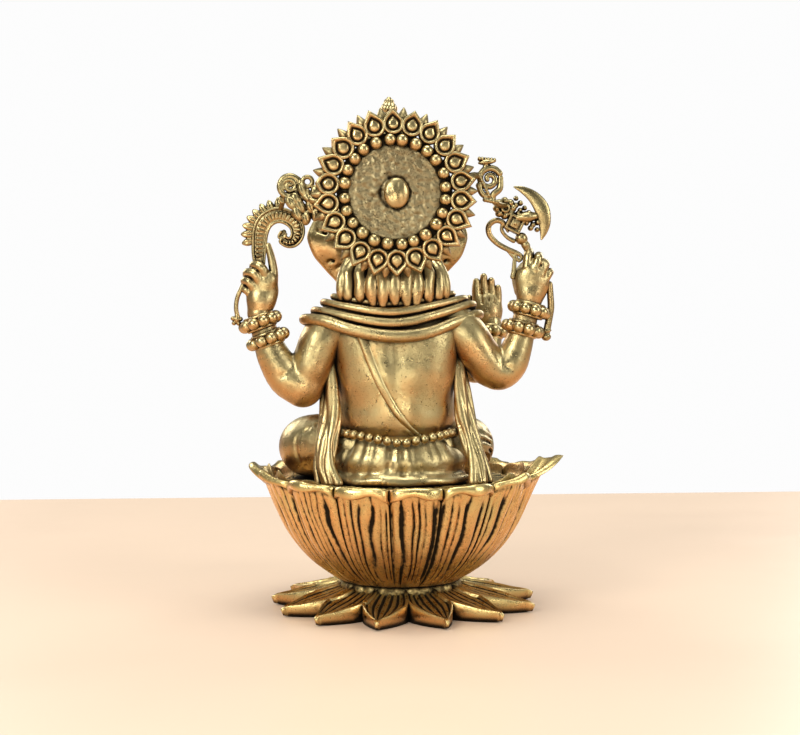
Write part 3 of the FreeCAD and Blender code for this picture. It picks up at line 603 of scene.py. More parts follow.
# petal centres from the main view's direction towards -X, in degrees, and how far and how high its tip goes
BOWL_PETALS = [(-92, 31.0, 3.4), (-66, 29.8, 2.4), (-40.5, 29.0, 1.0), (-14.6, 28.8, 0.0), (6, 28.8, 0.0),
               (29, 28.9, 0.5), (54, 30.0, 2.6), (82, 33.2, 6.0), (108, 31.0, 3.2), (134, 30.2, 2.0),
               (161, 30.2, 1.6), (188, 30.2, 1.6), (215, 30.2, 1.6), (242, 30.2, 2.0)]


def build_bowl():
    """Bowl shell that the petals lie on."""
    profile = [(0.02, 7.05), (12.4, 7.05), (12.6, 7.4)]
    for rise in (0.12, 0.34, 0.55, 0.77, 0.89, 0.97):
        profile.append((float(bowl_radius(rise)) - 1.3, WAIST_Z + rise * (RIM_Z - WAIST_Z)))
    profile += [(25.6, 27.0), (24.7, 26.8), (24.6, 24.9), (22.4, 24.6), (19.8, 17), (13.5, 10.6), (0.02, 9.6)]
    shell = Parts()
    vertices, quads = lathe(profile, 128)
    shell.put(vertices, quads, 0.3)
    shell.piece("lotus_bowl", LOTUS)


def build_bowl_petals():
    """Veined outer petals with rolled lips."""
    rows, columns = 76, 45
    petals = Parts()
    count = len(BOWL_PETALS)
    for number, (centre, reach, rising) in enumerate(BOWL_PETALS):
        before = BOWL_PETALS[number - 1][0] - (360 if number == 0 else 0)
        after = BOWL_PETALS[(number + 1) % count][0] + (360 if number == count - 1 else 0)
        left, right = (centre - before) / 2, (after - centre) / 2
        s = np.linspace(0, 1, rows)[:, None]
        t = np.linspace(-1, 1, columns)[None, :]
        turn = np.where(t < 0, t * left, t * right)
        rise = np.clip(s / 0.80, 0, 1) * 0.94
        curl = np.clip((s - 0.80) / 0.20, 0, 1)
        radius = bowl_radius(rise)
        grow = np.clip((rise - 0.1) / 0.8, 0, 1)
        radius = radius + (0.25 + 0.75 * grow) * (1 - np.abs(t) ** 2.2) - 0.25
        height = WAIST_Z - 0.9 + rise * (RIM_Z - WAIST_Z + 1.6)
        wander = 0.11 * np.sin(s * 5 + 2.3 * number) + 0.05 * np.sin(s * 15 + 2 * number + 3 * t)
        depth = 0.55 + 0.45 * np.sin(t * 9 + number * 1.7)
        start = 0.02 + 0.03 * np.sin(t * 21 + number)
        finish = 0.86 - 0.07 * np.abs(np.sin(t * 13 + number)) - 0.05 * t * t
        line = np.clip((s - start) / 0.05, 0, 1) * np.clip((finish - s) / 0.10, 0, 1)
        bunch = t + 0.10 * np.sin(t * 4.7 + number * 2.9)
        veins = ridges(bunch + wander * (1 - np.abs(t)), (6, 5, 7, 6)[number % 4],
                       3.6) * line * (0.55 + 0.45 * depth)
        hair = ridges(t + wander, 17, 6.0) * line * 0.25
        radius = radius - 0.70 * veins - 0.2 * hair - 0.55 * np.abs(t) ** 16 * grow
        tip = np.clip(1 - np.abs(t), 0, 1) ** 1.1
        opening = np.clip((s - 0.58) / 0.42, 0, 1) ** 1.7
        flare = (reach - 28.9) * opening * (0.2 + 0.8 * tip)
        roll = math.radians(215) * curl
        size = (0.72 + 0.22 * tip) * (1 + 0.18 * np.sin(t * 4.3 + number * 1.3))
        radius = radius + flare + size * (1 - np.cos(roll)) - 0.5 * np.abs(t) ** 6 * curl
        wave = 0.30 * np.sin(t * 5.2 + number * 2.1) * curl
        lift = rising * opening * (0.35 + 0.65 * tip)
        height = height + 1.5 * size * np.sin(roll) + 0.6 * np.minimum(curl * 2, 1)
        height = height + wave + lift - np.abs(t) ** 5 * curl
        # painted shade: the seams between petals, the vein grooves and the band under each rolled lip are
        # marked darker; the rolled lip itself is kept lighter
        seam = 0.9 * np.abs(t) ** 34 * (1 - 0.5 * curl)
        shade_under_lip = 0.6 * np.exp(-((s - 0.80) / 0.025) ** 2) * (1 - 0.6 * tip)
        groove_and_lip_shade = 0.85 * veins + 0.4 * hair + seam + shade_under_lip - 0.3 * curl * (np.abs(t) < 0.9)
        lip = np.stack(np.broadcast_arrays(radius, turn, height), -1)
        inner_radius = np.minimum(bowl_radius(rise) - 1.15 + flare * 0.95, radius - 0.8)
        inner_height = np.where(curl > 0, height - 0.55 * curl, height)
        inside = np.stack(np.broadcast_arrays(inner_radius, turn, inner_height), -1)

        def spin(sheet):
            angle = np.radians(CAMERA_SIDE + centre + sheet[..., 1])
            return np.stack([sheet[..., 0] * np.cos(angle), sheet[..., 0] * np.sin(angle), sheet[..., 2]], -1)
        vertices, quads, hollow = plate(spin(lip), spin(inside), groove_and_lip_shade, 0.35)
        petals.put(vertices, quads[:, ::-1], hollow)
    petals.piece("bowl_petals", LOTUS)


def build_seat():
    """Creased plate that the figure sits on."""
    rows, columns = 40, 360
    s = np.linspace(0.06, 1, rows)[:, None]
    angle = np.linspace(0, 2 * math.pi, columns)[None, :]
    radius = 24.5 * s
    creases = np.abs(np.sin(angle * 28 + 0.6 * np.sin(angle * 5))) ** 3 * np.clip((s - 0.45) / 0.2, 0, 1)
    top = SEAT_Z + 0.25 * s ** 3 + 0.25 * np.sin(angle * 9 + 1) * s ** 2 - 0.35 * creases
    upper = np.stack(np.broadcast_arrays(radius * np.cos(angle), radius * np.sin(angle), top), -1)
    lower = np.stack(np.broadcast_arrays(radius * np.cos(angle), radius * np.sin(angle), 25.05 + 0 * top), -1)
    seat = Parts()
    # painted shade in the creases and a little over the whole seat, which lies inside the bowl under the
    # figure
    seat.put(*plate(upper, lower, 0.5 * creases + 0.25, 0.2))
    seat.piece("lotus_seat", LOTUS)


def finish_fixings():
    """Steel on the screw and washer, which keep their CAD form."""
    for name in ("lotus_screw", "lotus_washer"):
        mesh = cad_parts[name].data
        mesh.materials.clear()
        mesh.materials.append(STEEL)


# ================================================================ halo
HALO = row(2.2, 12.4, 87.5)
HALO_BACK = 14.0
HALO_TALL = 1.02                        # the halo is slightly taller than wide


def on_halo(radius, turn, forward):
    """Place on a ring of the halo, at an angle from its top and a distance behind its centre."""
    return HALO + row(radius * math.sin(turn), forward, HALO_TALL * radius * math.cos(turn))


def build_halo():
    """The halo: its pieces share one run of random draws."""
    rng = np.random.default_rng(5)
    build_halo_disc(rng)
    build_halo_rivet()
    build_halo_beads(rng)
    build_halo_petals(rng)
    build_halo_points()


def build_halo_disc(rng):
    """Grainy plate with a worn step round its edge."""
    rows, columns = 60, 180
    s = np.linspace(0.0, 1, rows)[:, None] ** 0.9
    angle = np.linspace(0, 2 * math.pi, columns)[None, :]
    radius = 0.02 + 11.9 * s
    x = HALO[0] + radius * np.sin(angle)
    z = HALO[2] + HALO_TALL * radius * np.cos(angle)
    rough = 0 * x
    for _ in range(90):
        heading, wave_length = rng.uniform(0, 2 * math.pi), rng.uniform(0.7, 2.6)
        across = (x * math.cos(heading) + z * math.sin(heading)) * 2 * math.pi / wave_length
        rough = rough + 0.008 * wave_length * np.sin(across + rng.uniform(0, 6.28))
    rivet_gap = np.exp(-((radius - 3.0) / 0.35) ** 2)
    step = np.clip((radius - 9.3) / 0.5, 0, 1)
    y = HALO_BACK - 0.55 + rough * (1 - step) - 0.35 * rivet_gap - 0.35 * step
    back = np.stack(np.broadcast_arrays(x, y, z), -1)
    front = np.stack(np.broadcast_arrays(x, HALO[1] + 0 * y, z), -1)
    disc = Parts()
    # painted shade in the groove round the rivet and on the stepped band under the beads; dips in the grain
    # marked a little darker
    vertices, quads, hollow = plate(back, front, 0.55 * rivet_gap + 0.6 * step - 0.6 * rough + 0.08, 0.3)
    disc.put(vertices, quads[:, ::-1], hollow)
    disc.piece("halo_disc", FIELD)


def build_halo_rivet():
    rivet = Clay(0.12)
    rivet.add(egg((1.95, HALO_BACK + 0.1, 87.3), (2.6, 1.15, 3.15)))
    rivet.add(tube([(2.2, 6.6, 87.5, 1.5), (2.2, 10, 87.5, 1.5), (2.2, 13.6, 87.5, 1.5)]), 0.3)
    rivet.engrave(groove([(1.1, 15.3, 85.5), (1.4, 15.6, 87.2), (1.2, 15.2, 89.2)], 0.5, 0.22))
    rivet.engrave(groove([(3.0, 15.3, 86.2), (3.4, 15.2, 88.0)], 0.4, 0.18))
    sculpt("halo_rivet", rivet, ORNAMENT)


def build_halo_beads(rng):
    beads = Parts()
    for spoke in around(24, 0.45):
        turn = spoke + rng.uniform(-0.02, 0.02)
        size = 1.26 * rng.uniform(0.93, 1.06)
        vertices, quads = dome_bead(size, 15, 24, 0.85)
        frame_of = aim((rng.uniform(-0.12, 0.12), 1, rng.uniform(-0.12, 0.12)), (1, 0, 0))
        ring = 10.55 + rng.uniform(-0.15, 0.15)
        centre = on_halo(ring, turn, HALO_BACK - HALO[1] - 0.25)
        beads.put(vertices @ frame_of.T + centre, quads, 0.0)
    beads.piece("halo_beads", ORNAMENT)


def drop_outline(angle, width, length):
    """Radius of a teardrop, round about its origin and pointed along angle 0, in a given direction."""
    round_part = width / 2
    point = length - width / 2
    lean = math.acos(min(round_part / point, 0.999))
    flank = round_part / np.maximum(np.cos(np.abs(angle) - lean), 0.05)
    return np.where(np.abs(angle) < lean, flank, round_part)


def build_halo_petals(rng):
    """Teardrop petals with a raised rim and a boss, no two quite alike."""
    steps = 72
    levels = [(0.02, -1.35), (1.00, -1.35), (1.04, -0.7), (1.0, -0.1), (0.93, 0.22), (0.84, 0.30),
              (0.75, 0.20), (0.67, -0.10), (0.60, -0.42), (0.54, -0.45), (0.47, -0.12), (0.38, 0.06),
              (0.22, 0.12), (0.02, 0.14)]
    # painted shade and tarnish per ring of the profile: darkest in the groove between rim and boss, some at
    # the base against the disc
    shade_and_dirt = [0.3, 0.3, 0.1, 0.0, 0.0, 0.0, 0.0, 0.35, 0.9, 0.95, 0.35, 0.1, 0.15, 0.15]
    angle = np.linspace(-math.pi, math.pi, steps, endpoint=False)
    petals = Parts()
    for number, turn in enumerate(around(22, 0.1)):
        wide, long = 4.45 * rng.uniform(0.96, 1.05), 5.7 * rng.uniform(0.95, 1.04)
        if number == 5:
            long = wide * 1.08
        edge = drop_outline(angle, wide, long)
        rings = []
        for share, height in levels:
            soft = edge if share > 0.7 or share < 0.1 else edge * 0.8 + 0.2 * wide / 2
            rings.append(np.stack([share * soft * np.sin(angle), height + 0 * angle,
                                   share * soft * np.cos(angle)], 1))
        vertices = np.concatenate(rings)
        quads = grid_quads(len(levels), steps, wrap=True)
        tilt = rng.uniform(-0.05, 0.05)
        lean = turned((rng.uniform(-4, 4) + 3, 0, rng.uniform(-4, 4)))
        spin = np.array(Euler((0, turn + tilt, 0)).to_matrix())
        ring_radius = 13.75 + rng.uniform(-0.12, 0.12)
        centre = on_halo(ring_radius, turn, HALO_BACK - HALO[1] - 0.15)
        placed = (vertices @ lean.T) @ spin.T + centre
        petals.put(placed, quads, np.repeat(shade_and_dirt, steps))
    petals.piece("halo_petals", ORNAMENT)


def build_halo_points():
    points = Parts()
    for turn in around(22, 0.6):
        vertices, quads = dome_bead(1.15, 15, 20, 1.0)
        vertices[:, :2] *= np.clip(1.0 - 0.62 * np.clip(vertices[:, 2:] / 1.15, 0, 1) ** 1.2, 0.2, 1)
        vertices[:, 2] *= np.where(vertices[:, 2] > 0, 1.75, 1.5)
        frame_of = aim((math.sin(turn), 0, math.cos(turn)))
        points.put(vertices @ frame_of.T + on_halo(15.3, turn, -0.3), quads, 0.42)
    points.piece("halo_points", ORNAMENT)


# ================================================================ stage
def build_floor():
    floor = bpy.data.meshes.new("floor")
    near, far, side = 0.60, -0.196, 0.60
    floor.from_pydata([(-side, far, FLOOR), (side, far, FLOOR), (side, near, FLOOR), (-side, near, FLOOR)],
                      [], [(0, 1, 2, 3)])
    floor_object = bpy.data.objects.new("floor", floor)
    bpy.context.scene.collection.objects.link(floor_object)
    material = plain_finish("pale_floor", (0.56, 0.43, 0.32), 0.0, 30, 0.34, 0.46)
    floor.materials.append(material)


def build_studio():
    """World that is pale to look at and a shaded room in reflections, with six soft lights."""
    bpy.context.scene.view_settings.view_transform = "Standard"
    world = bpy.data.worlds.new("studio")
    bpy.context.scene.world = world
    world.use_nodes = True
    nodes, links = world.node_tree.nodes, world.node_tree.links
    reflected = nodes["Background"]
    direction = nodes.new("ShaderNodeTexCoord")
    parts = nodes.new("ShaderNodeSeparateXYZ")
    ramp = nodes.new("ShaderNodeValToRGB")
    links.new(direction.outputs["Generated"], parts.inputs["Vector"])
    links.new(parts.outputs["Z"], ramp.inputs["Fac"])
    stops = ramp.color_ramp.elements
    stops[0].position, stops[0].color = 0.0, (0.50, 0.49, 0.44, 1)
    stops[1].position, stops[1].color = 1.0, (0.95, 0.95, 0.90, 1)
    for height, grey in ((0.22, 0.30), (0.45, 0.16), (0.75, 0.42)):
        stop = stops.new(height)
        stop.color = (grey, grey, 0.93 * grey, 1)
    links.new(ramp.outputs["Color"], reflected.inputs["Color"])
    reflected.inputs["Strength"].default_value = 0.9
    pale = nodes.new("ShaderNodeBackground")
    pale.inputs["Color"].default_value = (1.0, 1.0, 1.0, 1)
    pale.inputs["Strength"].default_value = 0.98
    seen = nodes.new("ShaderNodeLightPath")
    mix = nodes.new("ShaderNodeMixShader")
    links.new(seen.outputs["Is Glossy Ray"], mix.inputs[0])
    links.new(pale.outputs[0], mix.inputs[1])
    links.new(reflected.outputs[0], mix.inputs[2])
    links.new(mix.outputs[0], nodes["World Output"].inputs["Surface"])

    soft_light("key", (0.34, 0.42, 0.34), 0.24, 0.24, 2.4, (1.0, 0.98, 0.92))
    soft_light("fill", (-0.42, 0.30, 0.24), 0.20, 0.30, 1.15, (1.0, 0.98, 0.94))
    soft_light("top", (0.0, 0.05, 0.60), 0.30, 0.24, 2.0, (1.0, 1.0, 0.96))
    soft_light("front_left", (0.35, -0.42, 0.30), 0.28, 0.28, 1.4, (1.0, 0.98, 0.94))
    soft_light("low", (0.06, 0.40, 0.035), 0.34, 0.05, 0.35, (1.0, 0.96, 0.86))
    soft_light("front_right", (-0.36, -0.40, 0.26), 0.22, 0.28, 1.0, (1.0, 0.97, 0.93))


def soft_light(name, where, wide, tall, power, colour):
    data = bpy.data.lights.new(name, "AREA")
    data.shape = "RECTANGLE"
    data.size, data.size_y = wide, tall
    data.energy = power
    data.color = colour
    lamp = bpy.data.objects.new(name, data)
    bpy.context.scene.collection.objects.link(lamp)
    lamp.location = where
    lamp.rotation_euler = (Vector(where) - Vector((0, 0, 0.055))).to_track_quat("Z", "Y").to_euler()


def build_camera():
    data = bpy.data.cameras.new("camera")
    data.lens = 65.25
    data.sensor_width = 36
    camera = bpy.data.objects.new("camera", data)
    bpy.context.scene.collection.objects.link(camera)
    side = math.radians(CAMERA_SIDE)
    distance, height = 0.311, 0.0610
    camera.location = (distance * math.cos(side), distance * math.sin(side), height)
    pitch = math.radians(1.80)
    look = Vector((-math.cos(side) * math.cos(pitch), -math.sin(side) * math.cos(pitch), -math.sin(pitch)))
    camera.rotation_euler = look.to_track_quat("-Z", "Y").to_euler()
    bpy.context.scene.camera = camera


# ================================================================ the figure's body
LANDING_STEPS = 40
THREAD = [(9.6, 60.0), (8.6, 57.6), (7.2, 53.6), (5.2, 48.6), (2.8, 44.2), (0.2, 40.4), (-3.4, 36.9)]


def landed(body, x, z, side, lift=0.0):
    """Point of a form's skin at a side position and height, on its back (+1) or front (-1)."""
    point = row(x, 26.0 * side, z)[None, :]
    for _ in range(LANDING_STEPS):
        point[0, 1] -= side * float(body.field(point, 30)[0]) * 0.9
    return (x, float(point[0, 1]) + side * lift, z)


def build_torso():
    """Torso with its round belly, and what is laid on its skin."""
    torso = Clay(0.36)
    torso.add(egg((1.0, -0.6, 40.5), (13.0, 11.2, 8.5)))
    torso.add(egg((1.1, 0.8, 49.5), (12.7, 10.6, 12.5)), 3.5)
    torso.add(egg((1.6, 2.2, 58.4), (14.6, 8.4, 6.4)), 3.0)
    torso.add(egg((1.0, -6.4, 45.0), (12.6, 11.4, 10.4)), 3.0)
    for side in (-1, 1):
        torso.add(egg((1.4 + 5.6 * side, -6.6, 56.0), (5.6, 4.4, 4.4)), 2.0)
        torso.add(egg((1.2 + 6.4 * side, 4.6, 53.5), (5.6, 5.2, 8.0), (0, 10 * side, 0)), 4.5)
        torso.engrave(groove([(1 + 12.5 * side, 6, 44.2), (1 + 9.5 * side, 9, 42.8),
                              (1 + 6 * side, 11, 42.6)], 0.9, 0.3))
        torso.engrave(groove([(1 + 11.5 * side, -7, 53.2), (1 + 7 * side, -11.5, 52.4),
                              (1 + 2 * side, -12.5, 53.4)], 0.8, 0.5))
    torso.add(tube([(1.8, 1.0, 61, 6.2), (2.0, -0.4, 66, 5.2), (2.0, -1.5, 69, 5.2)]), 2.0)
    torso.engrave(groove([(1.1, 11.6, 38), (1.4, 12.0, 46), (1.8, 11.4, 54), (1.9, 10, 60)], 1.5, 0.55))
    torso.carve(egg((1.2, -18.2, 43.6), (1.0, 1.6, 1.0)), 0.6)
    torso.above(36.2)
    for offset in (-1.2, 1.2):
        beside = [landed(torso, x + offset * (1.0 - 0.05 * i), z + 0.35 * offset, 1)
                  for i, (x, z) in enumerate(THREAD)]
        torso.engrave(groove(beside, 0.24, 0.42))
    sculpt("torso", torso, FIGURE)
    build_hips()
    build_waist_beads()
    build_thread(torso)
    build_necklace(torso)


def build_hips():
    """Seat of the figure with its folded cloth and hem."""
    hips = Clay(0.30)
    hips.add(egg((0.7, 1.0, 31.6), (14.8, 12.2, 6.8)))
    hips.add(egg((0.8, 0.2, 35.0), (12.4, 11.2, 3.6)), 2.0)
    hips.add(egg((0.7, 1.2, 28.0), (14.9, 12.6, 3.4)), 1.6)
    for number in range(9):
        x = -12.0 + 3.1 * number + 0.7 * math.sin(number * 2.3)
        bow = 0.22 * (x - 0.8)
        low = (27.4, 29.8, 31.0)[number % 3]
        hips.engrave(groove([(x - bow * 0.6, 11.8 - 0.028 * x * x, 35.4), (x, 13.2 - 0.03 * x * x, 32.6),
                             (x + bow, 12.6 - 0.03 * x * x, low)], 0.8, 0.38 + 0.2 * math.sin(number * 1.7)))
    hem = [(-13.5, 6.5, 28.2), (-9.5, 10.4, 27.7), (-4.5, 12.7, 28.0), (0.5, 13.2, 27.6), (5.5, 12.6, 28.1),
           (10.5, 10.2, 27.6), (14.0, 6.5, 28.2)]
    hips.add(tube([(*point, 0.6) for point in hem]), 1.4)
    hips.above(SEAT_Z)
    sculpt("draped_hips", hips, FIGURE)


def build_waist_beads():
    beads = Parts()
    rng = np.random.default_rng(21)
    for turn in around(42):
        size = 0.98 * rng.uniform(0.94, 1.05)
        vertices, quads = dome_bead(size, 13, 20, 0.95)
        x = 0.8 + 13.2 * math.cos(turn)
        y = 0.3 + 12.75 * math.sin(turn)
        z = 37.7 - 1.7 * math.sin(turn) + 0.075 * abs(x - 0.8) * max(math.sin(turn), 0) * 2
        beads.put(vertices @ aim((math.cos(turn), math.sin(turn), 0.1)).T + row(x, y, z), quads, 0.0)
    beads.piece("waist_beads", ORNAMENT)


def build_thread(torso):
    """Three-strand sacred thread, across the back and round the front."""
    thread = Clay(0.13)
    route = [landed(torso, x, z, 1, -0.35) for x, z in THREAD]
    for offset, thick in ((-0.62, 0.58), (0.0, 0.60), (0.62, 0.58)):
        strand = [(x + offset * (1.0 - 0.05 * i), y, z + 0.35 * offset, thick)
                  for i, (x, y, z) in enumerate(route)]
        thread.add(tube(strand), 0.25)
    crossing = ((9.8, 59.4), (8.0, 55.0), (5.6, 51.0), (2.0, 46.8), (-3.0, 42.6), (-8.6, 39.0))
    front = [landed(torso, x, z, -1, -0.05) for x, z in crossing]
    for offset in (-0.7, 0.0, 0.7):
        thread.add(tube([(x + offset, y, z + 0.3 * offset, 0.42) for x, y, z in front]), 0.12)
    sculpt("sacred_thread", thread, ORNAMENT)


def build_necklace(torso):
    """Two beaded chains and a pendant."""
    chain = Clay(0.14)
    hang = ((-8.4, 59.6), (-6.4, 56.6), (-2.6, 54.6), (2.0, 53.9), (6.6, 54.8), (10.0, 57.0), (11.6, 59.8))
    for drop, thick in ((0.0, 0.75), (2.4, 0.55)):
        run = [landed(torso, x, z - drop, -1, 0.1) for x, z in hang]
        chain.add(tube([(*point, thick) for point in run]), 0.1)
        track = curve(run, 6)
        for point in track[1:-1]:
            chain.add(egg(point + row(0, -0.35, -0.9), (0.62, 0.55, 0.8)), 0.12)
    pendant = landed(torso, 2.0, 50.6, -1, 0.3)
    chain.add(egg(pendant, (1.5, 0.8, 1.9)), 0.2)
    chain.add(egg((pendant[0], pendant[1] - 0.7, pendant[2]), (0.7, 0.5, 0.9)), 0.1)
    sculpt("necklace", chain, ORNAMENT)


def build_left_leg():
    """Folded leg with its foot across the front, an anklet and folds of cloth."""
    left = Clay(0.34)
    left.add(tube([(8.0, 1.5, 33.8, 6.8), (14.5, -2.5, 34.2, 7.0), (19.0, -6.0, 34.0, 6.7),
                   (18.4, -10.0, 33.2, 6.0), (12.0, -15.0, 31.6, 4.8), (4.0, -17.8, 30.6, 3.7),
                   (0.0, -18.4, 30.2, 3.0)], steps=4), 1.5)
    left.add(tube([(0.5, -18.4, 30.0, 2.9), (-3.5, -18.8, 29.5, 2.7), (-7.0, -18.8, 29.2, 2.2)],
                  flat=(1, 1, 1.15)), 0.8)
    for number in range(5):
        left.add(egg((-9.0 - 0.25 * (2 - abs(number - 1)), -20.6 + 0.95 * number, 29.2),
                     (1.15 - 0.09 * number, 0.55, 0.75)), 0.15)
    left.add(hoop((0.8, -18.3, 30.4), 3.1, 0.5, (1, 0.12, 0.1)), 0.1)
    for turn in around(16):
        left.add(egg((-0.2, -18.4 + 3.3 * math.cos(turn), 30.3 + 3.2 * math.sin(turn)), (0.55, 0.55, 0.55)),
                 0.1)
    for number in range(7):
        x = 5.5 + 2.3 * number
        left.engrave(groove([(x, -8 - 0.5 * number, 40.6 - 0.16 * number),
                             (x + 1.5, -14.5, 37.4 - 0.25 * number), (x - 0.5, -20.0 + 0.4 * number, 32.0)],
                            0.5, 0.55))
    for number in range(4):
        x = 25.4 - 1.5 * number
        left.engrave(groove([(x - 3.5, 0.6 + 0.2 * number, 39.6), (x - 1.6, 0.2, 35.6),
                             (x - 2.4, 0.4, 30.2)], 0.4, 0.35))
    left.above(SEAT_Z)
    sculpt("leg_left", left, FIGURE)


def build_right_leg():
    right = Clay(0.34)
    right.add(tube([(-7.0, 1.5, 33.6, 6.6), (-11.0, -2.5, 34.0, 6.8), (-14.6, -6.0, 33.8, 6.6),
                    (-14.4, -9.6, 33.0, 5.8), (-9.5, -12.4, 31.4, 4.6), (-3.5, -13.6, 30.4, 3.4)], steps=4),
              1.5)
    for number in range(8):
        z = 41.0 - 1.7 * number
        right.engrave(groove([(-9.0 - 0.9 * number, 4.5 - 0.2 * number, z + 0.8),
                              (-17.5 - 0.3 * number, 0.5 - 0.5 * number, z - 0.6), (-20.6, -5.5, z - 2.6)],
                             0.5, 0.6))
    for number in range(5):
        x = -5.0 - 2.2 * number
        right.engrave(groove([(x, -8 - 0.4 * number, 40.0), (x - 1.2, -13.0, 37.2),
                              (x + 0.5, -17.4 + 0.5 * number, 32.0)], 0.5, 0.55))
    right.above(SEAT_Z)
    sculpt("leg_right", right, FIGURE)


# ================================================================ shawl
def build_shawl():
    collar = Clay(0.20)
    rolls = [[(13.6, -3.4, 58.6, 0.8), (17.6, -2.6, 60.2, 1.0), (20.2, 1.2, 61.2, 1.0),
              (20.2, 5.0, 61.6, 1.15), (16.5, 8.2, 61.2, 1.25), (12.1, 10.4, 59.7, 1.25),
              (7.7, 11.6, 58.7, 1.3), (3.3, 12.0, 58.1, 1.35), (-1.3, 11.6, 58.2, 1.35),
              (-5.9, 10.5, 59.1, 1.25), (-10.8, 8.0, 60.9, 1.2), (-15.6, 4.8, 62.6, 1.05),
              (-16.8, 1.6, 62.4, 0.95), (-14.4, -2.4, 61.2, 0.95), (-11.0, -3.4, 59.4, 0.8)],
             [(11.4, -4.0, 60.0, 0.7), (15.4, -2.4, 62.2, 0.85), (18.2, 1.4, 63.2, 0.85),
              (17.8, 5.2, 63.4, 0.85), (14.6, 8.0, 62.7, 0.85), (10.7, 10.2, 61.8, 0.9),
              (6.7, 11.3, 61.1, 1.0), (2.7, 11.6, 60.8, 1.0), (-1.4, 11.3, 61.2, 1.0),
              (-5.6, 10.1, 62.2, 0.95), (-9.9, 7.9, 63.4, 0.9), (-14.2, 4.8, 64.7, 0.85),
              (-15.4, 1.6, 64.5, 0.8), (-12.6, -2.2, 63.0, 0.8), (-9.0, -3.8, 61.0, 0.7)],
             [(9.4, -3.8, 61.8, 0.7), (13.2, -2.0, 64.0, 0.8), (16.2, 1.6, 65.0, 0.8),
              (16.0, 5.0, 65.1, 0.8), (13.6, 7.4, 64.5, 0.8), (10.0, 9.4, 63.8, 0.9),
              (6.4, 10.6, 63.2, 0.95), (2.7, 11.0, 63.0, 0.98), (-1.1, 10.6, 63.4, 0.95),
              (-4.9, 9.4, 64.1, 0.9), (-9.0, 7.4, 65.0, 0.85), (-12.6, 4.8, 65.9, 0.8),
              (-13.6, 1.6, 65.8, 0.75), (-10.8, -1.8, 64.6, 0.75), (-7.2, -3.6, 62.6, 0.7)],
             [(13.6, 1.0, 66.2, 0.7), (14.2, 4.2, 66.3, 0.75), (10.4, 7.4, 65.6, 0.8),
              (6.4, 9.0, 65.0, 0.85), (2.4, 9.6, 64.8, 0.85), (-1.6, 9.2, 65.2, 0.85),
              (-5.8, 7.6, 66.0, 0.8), (-10.4, 4.4, 66.9, 0.75), (-11.0, 1.2, 66.8, 0.7)]]
    for roll in rolls:
        collar.add(tube(roll, flat=(1, 1.2, 1), steps=4), 0.12)
    inside = [(18.6, 1.4, 61.8, 1.2), (15.8, 5.0, 62.6, 1.5), (10.4, 7.6, 61.8, 2.0), (5.4, 8.6, 61.2, 2.2),
              (1.2, 8.8, 61.0, 2.2), (-3.2, 8.2, 61.6, 2.1), (-8.2, 6.4, 62.8, 1.8),
              (-12.6, 4.0, 64.0, 1.5), (-15.0, 1.4, 64.0, 1.2)]
    collar.add(tube(inside, steps=4), 0.15)
    sculpt("shawl_collar", collar, FIGURE)

    build_shawl_end("shawl_end_left",
                    [(14.2, 4.0, 57.0), (15.0, 5.2, 52.6), (14.7, 5.8, 47.0), (14.6, 6.6, 41.0),
                     (15.5, 8.2, 35.5), (15.7, 9.6, 31.0), (14.6, 10.8, 27.6)], 1)
    build_shawl_end("shawl_end_right",
                    [(-10.2, 4.0, 57.0), (-11.7, 5.2, 52.8), (-12.1, 5.8, 47.0), (-12.8, 6.6, 41.0),
                     (-13.9, 8.0, 36.0), (-14.9, 9.4, 31.5), (-15.2, 10.6, 27.6)], -1)


def build_shawl_end(node, fall, side):
    """Hanging end of the shawl: a bundle of uneven folds, opening towards the seat."""
    cloth = Clay(0.19)
    folds = ((-1.55, -0.2, 0.62), (-0.55, 0.35, 0.85), (0.55, 0.1, 0.72), (1.5, -0.5, 0.85),
             (2.5, -1.6, 0.75), (3.3, -3.0, 0.8))
    for number, (across, out, thick) in enumerate(folds):
        stations = []
        for step, (x, y, z) in enumerate(fall):
            spread = 0.25 + 0.75 * (step / 6) ** 0.8
            sway = 0.38 * math.sin(step * 1.5 + number * 2.1)
            swell = 1 + 0.22 * math.sin(step * 2.2 + number * 1.7)
            girth = thick * (0.55 + 0.45 * min(step / 2, 1)) * swell
            stations.append((x + side * (across * spread * 0.85 + sway * spread), y + out * spread, z, girth))
        cloth.add(tube(stations, flat=(1, 1.3, 1)), 0.13)
    backing = [(x + 0.8 * side * (0.25 + 0.12 * i), y - 1.3, z, 0.9) for i, (x, y, z) in enumerate(fall)]
    cloth.add(tube(backing, flat=(1.5, 1, 1)), 0.1)
    cloth.above(SEAT_Z)
    sculpt(node, cloth, FIGURE)


